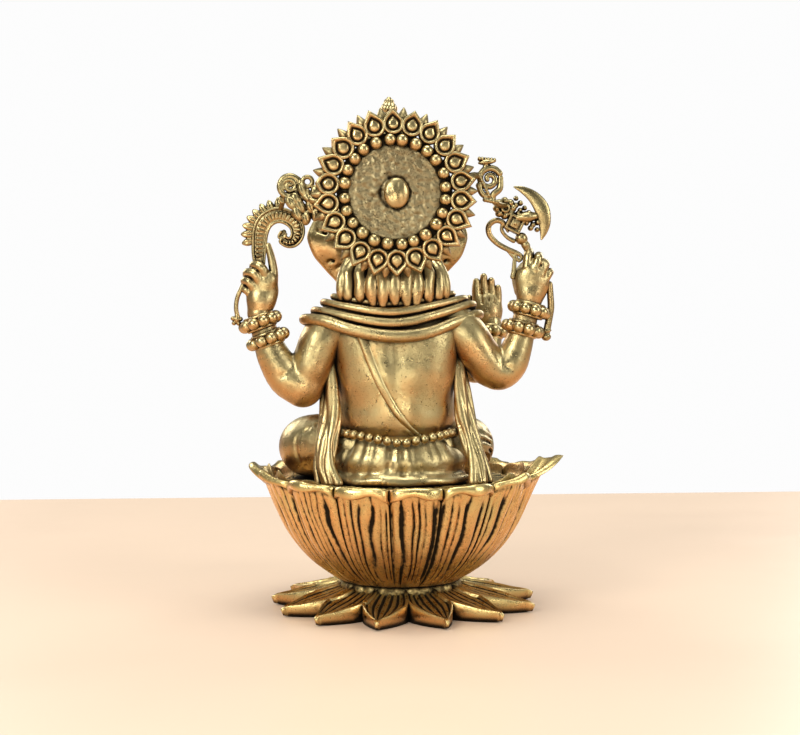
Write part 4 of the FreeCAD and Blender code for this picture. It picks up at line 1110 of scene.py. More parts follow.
# ================================================================ arms, hands and bangles
def build_rear_arms():
    left = Clay(0.30)
    left.add(tube([(13.4, 3.6, 61.0, 4.6), (16.6, 4.2, 57.6, 4.6), (18.4, 4.5, 53.6, 4.4),
                   (19.9, 4.5, 49.8, 4.3), (20.9, 4.5, 47.4, 4.1)], steps=4), 1.0)
    left.add(tube([(20.9, 4.5, 47.3, 4.2), (24.2, 4.6, 49.4, 4.1), (26.9, 4.6, 53.6, 3.5),
                   (28.4, 4.5, 57.4, 2.9), (29.9, 4.5, 62.6, 2.5)], steps=4), 0.7)
    left.add(tube([(17.6, 6.2, 56.6, 2.6), (19.2, 6.5, 52.0, 2.4)], steps=4), 2.0)
    left.engrave(groove([(22.4, 8.6, 53.2), (23.6, 8.9, 50.8), (25.2, 8.6, 49.8)], 0.8, 0.35))
    sculpt("rear_arm_left", left, FIGURE)

    right = Clay(0.30)
    right.add(tube([(-10.6, 3.4, 61.2, 4.6), (-13.8, 4.2, 58.0, 4.6), (-16.2, 4.5, 54.6, 4.35),
                    (-18.6, 4.5, 51.8, 4.2)], steps=4), 1.0)
    right.add(tube([(-18.6, 4.5, 51.6, 4.2), (-20.8, 4.5, 50.6, 4.1), (-23.0, 4.6, 52.2, 3.8),
                    (-24.6, 4.6, 55.6, 3.2), (-25.6, 4.5, 58.8, 2.8), (-27.0, 4.5, 64.4, 2.5)], steps=4),
              0.7)
    right.add(tube([(-14.6, 6.2, 57.4, 2.5), (-17.0, 6.4, 53.4, 2.3)], steps=4), 2.0)
    right.engrave(groove([(-19.8, 8.7, 55.0), (-20.8, 9.0, 52.4), (-22.4, 8.6, 51.2)], 0.8, 0.35))
    sculpt("rear_arm_right", right, FIGURE)


def build_front_arms():
    front = Clay(0.32)
    front.add(tube([(13.2, -1.0, 58.6, 4.2), (17.4, -4.0, 52.6, 3.9), (19.6, -7.6, 47.6, 3.8)], steps=4), 0.8)
    front.add(tube([(19.6, -7.8, 47.4, 3.8), (18.6, -11.6, 47.2, 3.4), (16.2, -15.6, 48.8, 2.7),
                    (13.6, -18.6, 50.6, 2.2)], steps=4), 0.8)
    sculpt("front_arm_left", front, FIGURE)

    raised = Clay(0.32)
    raised.add(tube([(-10.6, -1.0, 58.8, 4.2), (-14.6, -4.6, 54.4, 3.9), (-17.4, -8.0, 51.4, 3.7)],
                    steps=4), 0.8)
    raised.add(tube([(-17.4, -8.2, 51.4, 3.7), (-19.4, -10.8, 52.2, 3.3), (-21.4, -13.0, 55.8, 2.6),
                     (-21.9, -13.9, 61.0, 2.2)], steps=4), 0.8)
    sculpt("front_arm_right", raised, FIGURE)


def fingers(clay, routes, soft=0.18):
    for route in routes:
        clay.add(tube(route, steps=4), soft)


def build_rear_left_hand():
    """Hand that holds the goad, its first finger raised along the handle."""
    left = Clay(0.17)
    left.add(tube([(30.0, 4.5, 62.8, 2.5), (29.7, 4.5, 64.8, 2.7)], flat=(1, 1.1, 1)))
    left.add(egg((29.3, 4.4, 67.4), (3.35, 2.35, 4.3), (0, -6, 0)), 1.2)
    left.add(egg((28.4, 5.6, 69.6), (2.2, 1.3, 1.8), (0, 30, 0)), 0.8)
    fingers(left,
            [[(27.2, 4.9, 68.6, 1.15), (27.0, 5.0, 71.4, 0.98), (27.4, 4.9, 74.2, 0.86),
              (28.1, 4.7, 76.9, 0.70)],
             [(28.2, 5.5, 69.9, 1.05), (29.4, 6.3, 72.2, 1.0), (30.9, 5.4, 72.9, 0.95),
              (31.1, 3.4, 72.0, 0.85), (30.0, 2.4, 71.2, 0.75)],
             [(29.6, 5.6, 68.8, 1.0), (30.9, 6.2, 70.9, 0.98), (32.4, 5.0, 71.3, 0.92),
              (32.4, 3.0, 70.4, 0.82), (31.2, 2.2, 69.8, 0.72)],
             [(30.7, 5.4, 67.6, 0.95), (32.0, 5.8, 69.3, 0.92), (33.0, 4.5, 69.6, 0.86),
              (32.7, 2.8, 68.9, 0.78), (31.6, 2.2, 68.4, 0.7)],
             [(31.2, 4.6, 66.2, 0.9), (32.6, 4.9, 67.6, 0.85), (33.2, 3.7, 67.9, 0.78),
              (32.6, 2.4, 67.4, 0.7)],
             [(27.4, 3.0, 66.4, 1.15), (27.6, 1.9, 69.2, 1.0), (29.2, 1.5, 71.0, 0.85)]])
    left.engrave(groove([(27.9, 6.4, 74.0), (27.9, 6.8, 71.5), (28.4, 7.2, 69.4)], 0.28, 0.3))
    left.engrave(groove([(29.6, 7.2, 71.4), (29.2, 7.4, 69.4)], 0.28, 0.3))
    sculpt("rear_hand_left", left, FIGURE)


def build_rear_right_hand():
    """Hand closed round the shaft of the axe."""
    right = Clay(0.17)
    right.add(tube([(-27.2, 4.5, 64.8, 2.5), (-27.3, 4.5, 66.4, 2.8)], flat=(1, 1.1, 1)))
    right.add(egg((-27.8, 4.5, 69.6), (3.75, 2.4, 4.3), (0, 10, 0)), 1.2)
    right.add(egg((-28.4, 5.2, 72.2), (3.2, 1.5, 2.2), (0, 32, 0)), 0.8)
    fingers(right,
            [[(-26.6, 5.4, 72.6, 1.15), (-26.9, 5.0, 75.2, 1.0), (-27.4, 3.2, 76.0, 0.95),
              (-28.2, 1.6, 74.6, 0.85)],
             [(-28.2, 5.8, 72.0, 1.1), (-28.9, 5.6, 74.4, 1.0), (-29.4, 3.6, 75.0, 0.95),
              (-29.6, 1.8, 73.6, 0.85)],
             [(-29.4, 5.6, 71.0, 1.05), (-30.4, 5.2, 73.0, 0.98), (-30.9, 3.4, 73.4, 0.9),
              (-30.8, 1.8, 72.2, 0.8)],
             [(-30.2, 5.2, 69.6, 0.95), (-31.4, 4.8, 71.4, 0.9), (-31.8, 3.2, 71.6, 0.84),
              (-31.4, 2.0, 70.6, 0.75)],
             [(-25.4, 3.2, 67.6, 1.2), (-25.0, 1.8, 70.6, 1.05), (-26.6, 0.9, 73.0, 0.9)]])
    for x, z in ((-27.9, 75.4), (-29.7, 74.0), (-31.0, 72.4)):
        right.engrave(groove([(x, 5.6, z), (x + 0.5, 6.6, z - 1.6)], 0.3, 0.35))
    sculpt("rear_hand_right", right, FIGURE)


def build_front_right_hand():
    """Raised open palm."""
    palm = Clay(0.16)
    palm.add(tube([(-21.8, -13.9, 60.4, 2.2), (-21.3, -14.0, 62.6, 2.6)], flat=(1, 1.25, 1)))
    palm.add(egg((-20.9, -14.1, 64.0), (3.5, 1.6, 3.6), (0, 4, 0)), 1.2)
    fingers(palm, [
        [(-18.7, -14.2, 64.8, 1.05), (-18.5, -14.5, 68.0, 1.0), (-18.5, -14.4, 70.1, 0.78)],
        [(-20.3, -14.2, 65.4, 1.05), (-20.2, -14.6, 69.0, 1.02), (-20.2, -14.4, 71.2, 0.80)],
        [(-21.9, -14.2, 65.2, 1.02), (-21.9, -14.6, 68.6, 0.98), (-21.9, -14.4, 70.3, 0.78)],
        [(-23.3, -14.1, 64.6, 0.95), (-23.4, -14.4, 67.2, 0.92), (-23.4, -14.2, 68.7, 0.72)],
        [(-19.2, -14.8, 62.2, 1.15), (-17.8, -15.8, 64.4, 0.95), (-17.2, -16.2, 66.4, 0.75)]], 0.10)
    palm.add(egg((-19.6, -15.1, 63.2), (1.5, 0.9, 1.8)), 0.6)
    for x in (-19.5, -21.05, -22.65):
        palm.engrave(groove([(x, -13.2, 70), (x, -13.2, 67), (x - 0.1, -12.9, 65.2)], 0.22, 0.35))
    sculpt("front_hand_right", palm, FIGURE)


def build_front_left_hand():
    """Hand that carries the bowl of sweets."""
    cup = Clay(0.16)
    cup.add(tube([(13.8, -18.4, 50.4, 2.2), (12.4, -19.4, 50.8, 2.1)]))
    cup.add(egg((10.4, -20.3, 50.6), (3.2, 2.7, 1.5), (0, 8, 30)), 0.8)
    fingers(cup, [
        [(9.4, -18.4, 50.4, 0.85), (6.6, -18.2, 50.9, 0.8), (4.8, -18.6, 52.2, 0.65)],
        [(8.8, -19.8, 50.3, 0.88), (5.8, -20.0, 50.7, 0.8), (4.2, -20.2, 52.2, 0.65)],
        [(8.6, -21.2, 50.4, 0.85), (6.2, -21.8, 50.8, 0.78), (4.8, -21.8, 52.2, 0.62)],
        [(9.0, -22.4, 50.6, 0.8), (7.4, -23.4, 51.0, 0.7), (6.4, -23.4, 52.2, 0.58)],
        [(12.4, -18.0, 51.2, 0.9), (10.6, -16.9, 52.2, 0.8), (9.0, -17.2, 53.4, 0.68)]], 0.15)
    sculpt("front_hand_left", cup, FIGURE)


def build_sweet_bowl():
    """Fluted bowl with four pleated sweets."""
    bowl = Parts()
    profile = [(0.02, 0.0), (1.5, 0.0), (1.9, 0.3), (2.9, 1.2), (3.3, 2.1), (3.45, 2.45), (3.2, 2.6),
               (2.9, 2.2), (2.2, 1.6), (0.02, 1.3)]
    vertices, quads = lathe(profile, 64, lambda r, h, a: 0.10 * np.cos(18 * a) * np.clip(h, 0, 1))
    bowl.put(vertices + row(8.4, -20.6, 51.6), quads, 0.2)
    for x, y, z in ((7.0, -21.4, 54.1), (9.8, -21.5, 54.1), (8.5, -19.2, 54.2), (8.4, -20.8, 55.5)):
        vertices, quads = lathe([(0.02, -1.2), (0.9, -1.0), (1.35, -0.2), (1.1, 0.6), (0.5, 1.1),
                                 (0.15, 1.55), (0.02, 1.6)], 40, lambda r, h,
                                a: -0.12 * np.abs(np.sin(5 * a)) * np.clip(r, 0, 1))
        bowl.put(vertices + row(x, y, z), quads, 0.1)
    bowl.piece("sweet_bowl", ORNAMENT)


def build_bangle(node, centre, axis, radius, beads=11, size=1.2):
    """Ring of round beads on a plain band."""
    rng = np.random.default_rng(beads + int(abs(centre[0]) * 10))
    frame_of = aim(axis)
    ring = Parts()
    for turn in around(beads, 0.35):
        vertices, quads = dome_bead(size * rng.uniform(0.95, 1.05), 13, 20, 1.0)
        out = frame_of @ np.array([math.cos(turn), math.sin(turn), 0])
        ring.put(vertices @ aim(out, axis).T + np.array(centre) + radius * out, quads, 0.0)
    section = np.linspace(0, 2 * math.pi, 14, endpoint=False)
    for offset, reach, thick in ((-1.2, radius - 0.55, 0.42), (1.2, radius - 0.55, 0.42),
                                 (0.0, radius - 0.8, 0.6)):
        turn = np.linspace(0, 2 * math.pi, 72, endpoint=False)[:, None]
        out = reach + thick * np.cos(section)[None, :]
        local = np.stack([out * np.cos(turn), out * np.sin(turn),
                          offset + thick * np.sin(section)[None, :] + 0 * turn], -1)
        vertices = local.reshape(-1, 3) @ frame_of.T + np.array(centre)
        quads = grid_quads(73, 14, wrap=True) % (72 * 14)
        ring.put(vertices, quads, 0.25)
    ring.piece(node, ORNAMENT)


def build_bangles():
    build_bangle("rear_left_lower_bangle", (28.2, 4.5, 57.4), (0.36, 0, 0.93), 3.5, 10, 1.3)
    build_bangle("rear_left_upper_bangle", (29.8, 4.5, 61.0), (0.34, 0, 0.94), 3.45, 10, 1.3)
    build_bangle("rear_right_lower_bangle", (-25.8, 4.5, 59.6), (-0.24, 0, 0.97), 3.5, 10, 1.3)
    build_bangle("rear_right_upper_bangle", (-27.2, 4.5, 63.6), (-0.24, 0, 0.97), 3.45, 10, 1.3)
    build_bangle("front_left_bangle", (14.9, -17.2, 49.7), (-0.58, -0.66, 0.44), 3.0, 10)
    build_bangle("front_right_bangle", (-21.8, -13.8, 58.8), (-0.08, -0.12, 0.99), 2.9, 10)


# ================================================================ head and crown
def build_head():
    """Domed head with brow, cheeks, lower lip and lidded eyes."""
    head = Clay(0.26)
    head.add(egg((2.0, -2.4, 76.0), (9.0, 8.8, 8.6)))
    head.add(tube([(2.0, -1.0, 67.0, 5.2), (2.0, -1.6, 71.0, 6.6)], steps=3), 2.0)
    for side in (-1, 1):
        head.add(egg((2.0 + 3.7 * side, -8.0, 78.4), (4.1, 3.6, 3.9)), 1.4)
        head.add(egg((2.0 + 5.4 * side, -6.6, 71.6), (3.9, 4.4, 4.0)), 2.0)
        head.add(egg((2.0 + 4.3 * side, -9.6, 71.0), (2.4, 3.2, 3.0)), 1.2)
    head.add(egg((2.0, -9.4, 73.6), (5.0, 4.4, 6.2)), 1.8)
    head.add(egg((2.0, -9.6, 66.6), (2.6, 2.9, 1.7), (-18, 0, 0)), 1.0)
    for side in (-1, 1):
        x = 2.0 + 5.1 * side
        head.carve(egg((x, -12.4, 74.4), (2.0, 1.7, 1.25), (0, -14 * side, 14 * side)), 0.5)
        head.add(egg((x - 0.1 * side, -10.9, 74.3), (1.45, 1.0, 0.95), (0, -10 * side, 10 * side)), 0.12)
        head.engrave(groove([(x - 0.2 * side, -12.0, 74.3), (x - 0.1 * side, -12.0, 74.25)], 0.32, 0.28))
        head.add(tube([(x - 1.9 * side, -12.5, 74.0, 0.26), (x, -12.3, 75.5, 0.34),
                       (x + 2.1 * side, -10.6, 74.6, 0.24)]), 0.15)
        head.add(tube([(x - 1.9 * side, -12.5, 73.9, 0.22), (x, -12.1, 73.2, 0.26),
                       (x + 2.0 * side, -10.6, 74.0, 0.22)]), 0.15)
        head.add(tube([(x - 2.4 * side, -12.4, 75.8, 0.3), (x - 0.2 * side, -12.0, 77.2, 0.42),
                       (x + 2.6 * side, -9.8, 76.6, 0.26)]), 0.35)
    head.engrave(groove([(2.0, -11.6, 81.0), (2.0, -12.4, 78.0)], 0.8, 0.5))
    head.add(egg((2.0, -12.7, 77.6), (0.75, 0.5, 1.5)), 0.2)
    sculpt("elephant_head", head, FIGURE)


def build_trunk():
    """Trunk with wrinkles round it, curling towards the sweets."""
    trunk = Clay(0.22)
    route = [(2.0, -10.0, 73.6, 4.2), (1.9, -13.6, 70.2, 3.9), (1.6, -16.4, 65.8, 3.5),
             (1.0, -18.4, 61.0, 3.1), (1.2, -19.8, 56.8, 2.7), (3.4, -20.8, 54.0, 2.3),
             (6.0, -20.8, 54.6, 1.9), (6.6, -20.4, 57.0, 1.6)]
    trunk.add(tube(route, steps=6))
    track = curve(route, 5)
    for number in range(3, len(track) - 3):
        centre, radius = track[number, :3], float(track[number, 3])
        along = track[number + 1, :3] - track[number - 1, :3]
        along /= np.linalg.norm(along)
        width = 0.26 if number % 2 else 0.20
        trunk.engrave(ring_groove(centre, along, radius, width, 0.30 if number % 2 else 0.2))
    trunk.carve(egg((6.5, -20.4, 58.6), (0.7, 0.6, 0.9)), 0.2)
    sculpt("trunk", trunk, FIGURE)


def build_tusks():
    """A long left tusk and a short broken right one."""
    for side, node, long in ((1, "tusk_left", 6.6), (-1, "tusk_right", 3.6)):
        tusk = Clay(0.14)
        base = row(2.0 + 5.0 * side, -10.2, 70.2)
        stations = []
        for share in np.linspace(0, 1, 5):
            stations.append((base[0] + side * 1.9 * share, base[1] - long * share,
                             base[2] - 2.6 * share + 1.6 * share ** 2,
                             1.25 * (1 - (0.72 if side > 0 else 0.22) * share)))
        tusk.add(tube(stations))
        tusk.add(hoop(base + row(0.2 * side, -1.6, -0.5), 1.25, 0.34, (0.3 * side, -1, -0.35)), 0.1)
        sculpt(node, tusk, ORNAMENT)


def build_ears():
    build_ear("ear_left", 1,
              [(9.6, 84.0), (13.2, 85.2), (16.6, 83.8), (18.6, 80.8), (18.9, 78.4), (17.9, 75.8),
               (15.9, 73.2), (14.0, 71.4), (12.6, 69.8), (11.4, 69.2), (10.2, 70.0)])
    build_ear("ear_right", -1,
              [(-5.6, 84.0), (-8.8, 85.0), (-12.0, 83.8), (-13.7, 80.9), (-13.7, 78.4), (-12.8, 75.8),
               (-11.0, 73.4), (-9.2, 71.8), (-7.8, 70.4), (-6.6, 69.8), (-5.6, 70.4)])


def ring_groove(centre, along, radius, width, depth):
    """Shallow groove round a limb at one place."""
    def amount(p):
        q = p - centre
        height = q @ along
        out = np.linalg.norm(q - height[:, None] * along, axis=1)
        near = (out < radius * 1.4) & (out > radius * 0.5)
        return (depth * np.exp(-(height / width) ** 2) * near).astype(np.float32)
    return amount, centre - radius * 1.2, centre + radius * 1.2


def build_ear(node, side, outline):
    """Fan-shaped ear with a rolled rim, a dished face and radiating veins."""
    ear = Clay(0.22)
    root = row(2.0 + 7.6 * side, -3.2, 76.0)
    rim = curve([(x, -1.6 - 0.9 * math.sin(number * 1.1), z) for number, (x, z) in enumerate(outline)], 3)
    for point in rim:
        middle = (root + point) / 2 + row(0, 0.7, 0)
        ear.add(tube([(*root, 1.9), (*middle, 1.35), (*point, 0.62)], steps=3), 0.9)
    ear.add(tube([(*point, 0.72 + 0.1 * math.sin(number * 1.3)) for number, point in enumerate(rim)],
                 steps=2), 0.4)
    for x, z in outline[2:-1]:
        end = row(x, -1.6, z)
        for face in (-1.6, 1.4):
            ear.engrave(groove([root + 0.35 * (end - root) + row(0, face, 0),
                                root + 0.86 * (end - root) + row(0, face * 0.8, 0.3)], 0.42, 0.42))
    inner = [(root * 0.30 + point * 0.70) for point in rim[::2]]
    for face in (-1.3, 1.2):
        ear.engrave(groove([point + row(0, face, 0) for point in inner], 0.4, 0.42))
    sculpt(node, ear, FIGURE)


def build_hair():
    """Hanging locks, a thinner row behind the gaps and a short lock at each end."""
    hair = Clay(0.17)
    places = (11.3, 8.9, 6.6, 4.3, 2.0, -0.4, -2.7, -5.1, -7.4)
    for number, x in enumerate(places):
        back = 10.6 - 0.036 * (x - 2.0) ** 2
        sway = 0.45 * math.sin(number * 2.4)
        low = 64.7 + 0.012 * (x - 2) ** 2 + 0.35 * math.sin(number * 1.9)
        hair.add(tube([(2 + (x - 2) * 0.84, back - 2.8, 74.0, 1.0), (x + sway * 0.6, back - 0.8, 71.4, 1.2),
                       (x - sway * 0.3, back - 0.2, 68.8, 1.42), (x + 0.1, back, 66.8, 1.32),
                       (x + 0.5 * sway, back - 0.1, low, 0.8)], flat=(1, 1.25, 1)), 0.10)
        hair.engrave(groove([(x - 0.55, back + 1.3, 72.0), (x - 0.7, back + 1.5, 69.0),
                             (x - 0.35, back + 1.3, 66.4)], 0.2, 0.16))
    for number, x in enumerate(places[:-1]):
        middle = (x + places[number + 1]) / 2
        back = 9.2 - 0.034 * (middle - 2.0) ** 2
        hair.add(tube([(middle, back - 1.8, 73.2, 0.9), (middle, back - 0.6, 69.4, 1.0),
                       (middle, back - 0.6, 66.0, 0.8)]), 0.08)
    for side, x in ((1, 12.9), (-1, -9.0)):
        hair.add(tube([(x - 1.4 * side, 4.6, 73.6, 1.0), (x - 0.3 * side, 6.4, 70.4, 1.15),
                       (x + 0.1 * side, 6.8, 67.6, 1.0), (x, 6.6, 65.9, 0.6)]), 0.1)
    sculpt("hair_locks", hair, FIGURE)


CROWN = row(2.2, -1.5, 80.4)


def build_crown_band():
    """Band with two rows of beads and oval gems between them."""
    band = Parts()
    profile = [(5.5, 0.0), (8.9, 0.0), (9.2, 0.35), (8.9, 0.7), (8.7, 1.0), (9.0, 1.5), (9.1, 2.4),
               (8.9, 3.1), (8.6, 3.4), (9.0, 3.7), (8.8, 4.05), (8.0, 4.1), (5.5, 4.1), (5.4, 2.0)]
    vertices, quads = lathe(profile + profile[:1], 160, lambda r, h,
                            a: -0.22 * np.abs(np.sin(12 * a)) ** 2 * ((h > 0.9) & (h < 3.3)))
    # painted shade and tarnish in the two grooves round the band
    band.put(vertices + CROWN, quads, np.where(np.isin(np.round(vertices[:, 2], 2), (1.0, 3.4)), 0.8, 0.1))
    for turn in around(34):
        bead, faces = dome_bead(0.62, 9, 12)
        band.put(bead + CROWN + row(9.0 * math.cos(turn), 9.0 * math.sin(turn), 0.2), faces, 0.0)
        bead, faces = dome_bead(0.5, 9, 12)
        band.put(bead + CROWN + row(8.85 * math.cos(turn), 8.85 * math.sin(turn), 3.7), faces, 0.0)
    for turn in around(12, 0.5):
        gem, faces = dome_bead(0.85, 11, 16, 0.6)
        out = np.array([math.cos(turn), math.sin(turn), 0.0])
        band.put((gem * row(0.8, 1.0, 1.0)) @ aim(out, (0, 0, 1)).T + CROWN
                 + row(8.9 * out[0], 8.9 * out[1], 2.05), faces, 0.0)
    band.piece("crown_band", ORNAMENT)


def build_crown_cone():
    """Tall crown in four tiers of leaves and beads."""
    cone = Parts()
    # height, radius below, radius above, leaves in the tier and their height
    tiers = [(4.15, 8.1, 8.0, 18, 5.0), (9.0, 6.9, 6.6, 15, 4.6), (13.6, 5.6, 5.2, 12, 4.2),
             (17.8, 4.2, 3.8, 9, 3.9)]
    profile = [(0.02, 4.15), (7.9, 4.15), (7.7, 6), (7.1, 8.7), (6.9, 9.0), (6.4, 11), (5.8, 13.3),
               (5.5, 13.6), (4.9, 15.6), (4.2, 17.6), (4.0, 18), (3.2, 20), (2.6, 21.6), (2.2, 22.6),
               (2.5, 23.1), (2.3, 23.8), (1.6, 24.4), (0.02, 24.45)]
    vertices, quads = lathe(profile, 128, lambda r, h, a: 0.12 * np.cos(24 * a) * np.clip(r / 3, 0, 1))
    cone.put(vertices + CROWN, quads, 0.35)
    for level, (height, low_radius, high_radius, count, tall) in enumerate(tiers):
        wide = 2 * math.pi * low_radius / count * 0.98
        for turn in around(count, 0.5 * (level % 2)):
            cone.put(*crown_leaf(turn, height, low_radius, high_radius, wide, tall))
        for turn in around(count * 2):
            bead, faces = dome_bead(min(0.55, low_radius * math.pi / count / 2 * 0.98), 9, 12)
            reach = low_radius + 0.15
            cone.put(bead + CROWN + row(reach * math.cos(turn), reach * math.sin(turn), height + 0.35),
                     faces, 0.0)
    cone.piece("crown_cone", ORNAMENT)


def build_crown_finial():
    """Bud with spiral grooves."""
    tip = Clay(0.16)
    top = row(2.25, -1.5, 104.6)
    tip.add(egg(top + row(0, 0, 0.3), (2.0, 2.0, 1.0)))
    tip.add(egg(top + row(0, 0, 2.0), (1.85, 1.85, 1.5)), 0.25)
    tip.add(egg(top + row(0, 0, 3.4), (1.15, 1.15, 1.2)), 0.4)
    for turn in around(8):
        tip.engrave(groove([top + row(1.9 * math.cos(turn), 1.9 * math.sin(turn), 0.8),
                            top + row(1.7 * math.cos(turn + 0.3), 1.7 * math.sin(turn + 0.3), 2.6),
                            top + row(0.6 * math.cos(turn + 0.6), 0.6 * math.sin(turn + 0.6), 4.2)], 0.22,
                           0.28))
    sculpt("crown_finial", tip, ORNAMENT)


def crown_leaf(turn, height, low_radius, high_radius, wide, tall):
    """Pointed leaf standing against one tier of the crown, as (vertices, quads, hollowness)."""
    rows, columns = 16, 13
    s = np.linspace(0, 1, rows)[:, None]
    t = np.linspace(-1, 1, columns)[None, :]
    half = wide / 2 * np.sqrt(np.clip(1 - s ** 2.4, 0.002, 1))
    lean = (high_radius - low_radius) * s
    rim = np.exp(-((1 - np.abs(t)) / 0.22) ** 2)
    boss = np.exp(-(t / 0.35) ** 2) * np.exp(-((s - 0.4) / 0.25) ** 2)
    out = 0.35 + 0.35 * rim + 0.55 * boss + 0.5 * s ** 3
    side = half * t
    reach = low_radius + lean + 0.1
    front = np.stack(np.broadcast_arrays(reach + out, side, height + tall * s), -1)
    back = np.stack(np.broadcast_arrays(reach - 0.5, side, height + tall * s), -1)
    # painted shade and tarnish on the sunk field between the rim and the boss
    hollow = np.broadcast_to(0.75 * (1 - rim) * (1 - boss), (rows, columns))
    vertices, quads, shade = plate(front, back, hollow, 0.3)
    return spun_about_z(vertices, turn) + CROWN, quads[:, ::-1], shade


# ================================================================ goad, axe and scroll brackets
DEPTH = 4.5                             # the plane of the raised attributes


def flat_tube(points, thick=1.8, steps=5):
    """Band in the attributes' plane through (x, z, half width) points."""
    return tube([(x, DEPTH, z, half) for x, z, half in points], flat=(1, thick, 1), steps=steps)


def build_goad():
    """Curled band with raised edges and ribs between them."""
    goad = Clay(0.14)
    middle = [(29.9, 73.2, 1.0), (30.0, 75.2, 1.25), (29.9, 77.4, 1.4), (29.7, 79.6, 1.5),
              (28.9, 81.7, 1.55), (27.3, 83.0, 1.5), (25.4, 83.3, 1.45), (23.4, 82.5, 1.4),
              (22.1, 81.0, 1.35), (22.0, 79.1, 1.2), (23.0, 77.8, 1.0), (24.4, 77.8, 0.85),
              (25.2, 78.8, 0.7), (24.8, 79.8, 0.55)]
    goad.add(flat_tube(middle, 2.2))
    track = curve([(x, z, half) for x, z, half in middle], 5)
    heading = np.gradient(track[:, :2], axis=0)
    heading /= np.linalg.norm(heading, axis=1)[:, None]
    outward = np.stack([-heading[:, 1], heading[:, 0]], 1)
    outward *= np.where(((track[:, :2] - (25.4, 79.6)) * outward).sum(1, keepdims=True) > 0, 1, -1)
    for share, thick in ((0.94, 0.36), (-0.94, 0.30)):
        edge = track[:, :2] + outward * track[:, 2:] * share
        for face in (-0.42, 0.42):
            goad.add(tube([(x, DEPTH + face, z, thick) for x, z in edge[::2]], steps=2), 0.05)
    for number in range(4, len(track) - 6, 2):
        x, z = track[number, :2] + outward[number] * track[number, 2] * 0.30
        end_x, end_z = track[number, :2] - outward[number] * track[number, 2] * 0.45
        for face in (-0.62, 0.62):
            goad.add(tube([(x, DEPTH + face, z, 0.34), (end_x, DEPTH + face, end_z, 0.12)], steps=2), 0.06)
    for share in (0.66, -0.66):
        edge = track[:, :2] + outward * track[:, 2:] * share
        for face in (-0.75, 0.75):
            goad.engrave(groove([(x, DEPTH + face, z) for x, z in edge[::3]], 0.16, 0.22))
    sculpt("goad", goad, AGED)


def build_goad_leaves():
    """Leaves along the outside of the curl, pointing away from its centre."""
    leaves = Clay(0.13)
    for tip_x, tip_z in ((33.4, 77.4), (33.6, 79.3), (33.3, 81.2), (32.4, 82.9), (31.2, 84.3), (29.7, 85.5),
                         (28.0, 86.3), (26.0, 86.9)):
        tip = np.array([tip_x, tip_z])
        inward = np.array([25.6, 79.4]) - tip
        inward /= np.linalg.norm(inward)
        root, middle_of = tip + inward * 2.9, tip + inward * 1.3
        leaves.add(flat_tube([(*root, 0.62), (*middle_of, 0.85), (*(tip + inward * 0.45), 0.55),
                              (*tip, 0.22)], 1.3), 0.1)
        for face in (-0.7, 0.7):
            leaves.engrave(groove([(root[0], DEPTH + face, root[1]), (tip[0], DEPTH + face * 0.6, tip[1])],
                                  0.2, 0.2))
    sculpt("goad_leaves", leaves, AGED)


def build_goad_handle():
    handle = Clay(0.13)
    handle.add(tube([(32.6, 4.4, 70.6, 0.5), (33.5, 4.4, 68.4, 0.5), (34.5, 4.4, 66.2, 0.48),
                     (34.8, 4.4, 63.8, 0.48), (34.3, 4.4, 61.4, 0.5)]))
    handle.add(egg((34.6, 4.4, 61.5), (0.75, 0.75, 0.75)), 0.2)
    for spoke in around(5):
        turn = spoke + 0.4
        handle.add(egg((34.7 + 0.85 * math.cos(turn), 4.4, 61.4 + 0.85 * math.sin(turn)), (0.5, 0.6, 0.5)),
                   0.1)
    sculpt("goad_handle", handle, AGED)


def build_axe_shaft():
    shaft = Clay(0.14)
    shaft.add(tube([(-31.6, 4.4, 69.0, 0.7), (-31.8, 4.4, 66.4, 0.72), (-31.9, 4.4, 64.0, 0.74),
                    (-31.5, 4.4, 61.6, 0.76), (-31.0, 4.4, 59.0, 0.78)]))
    shaft.add(egg((-30.9, 4.4, 57.9), (1.05, 1.05, 0.95)), 0.1)
    shaft.add(hoop((-31.0, 4.4, 59.1), 0.75, 0.3, (0.2, 0, 1)), 0.1)
    shaft.add(tube([(-31.6, 4.2, 68.5, 0.6), (-29.4, 3.0, 72.4, 0.6), (-27.2, 4.2, 75.8, 0.75),
                    (-26.4, 4.5, 77.4, 0.9)]), 0.1)
    shaft.add(egg((-25.5, DEPTH, 78.7), (1.35, 1.25, 1.3)), 0.15)
    shaft.add(egg((-26.4, DEPTH, 77.3), (0.95, 0.95, 0.8)), 0.1)
    sculpt("axe_shaft", shaft, AGED)


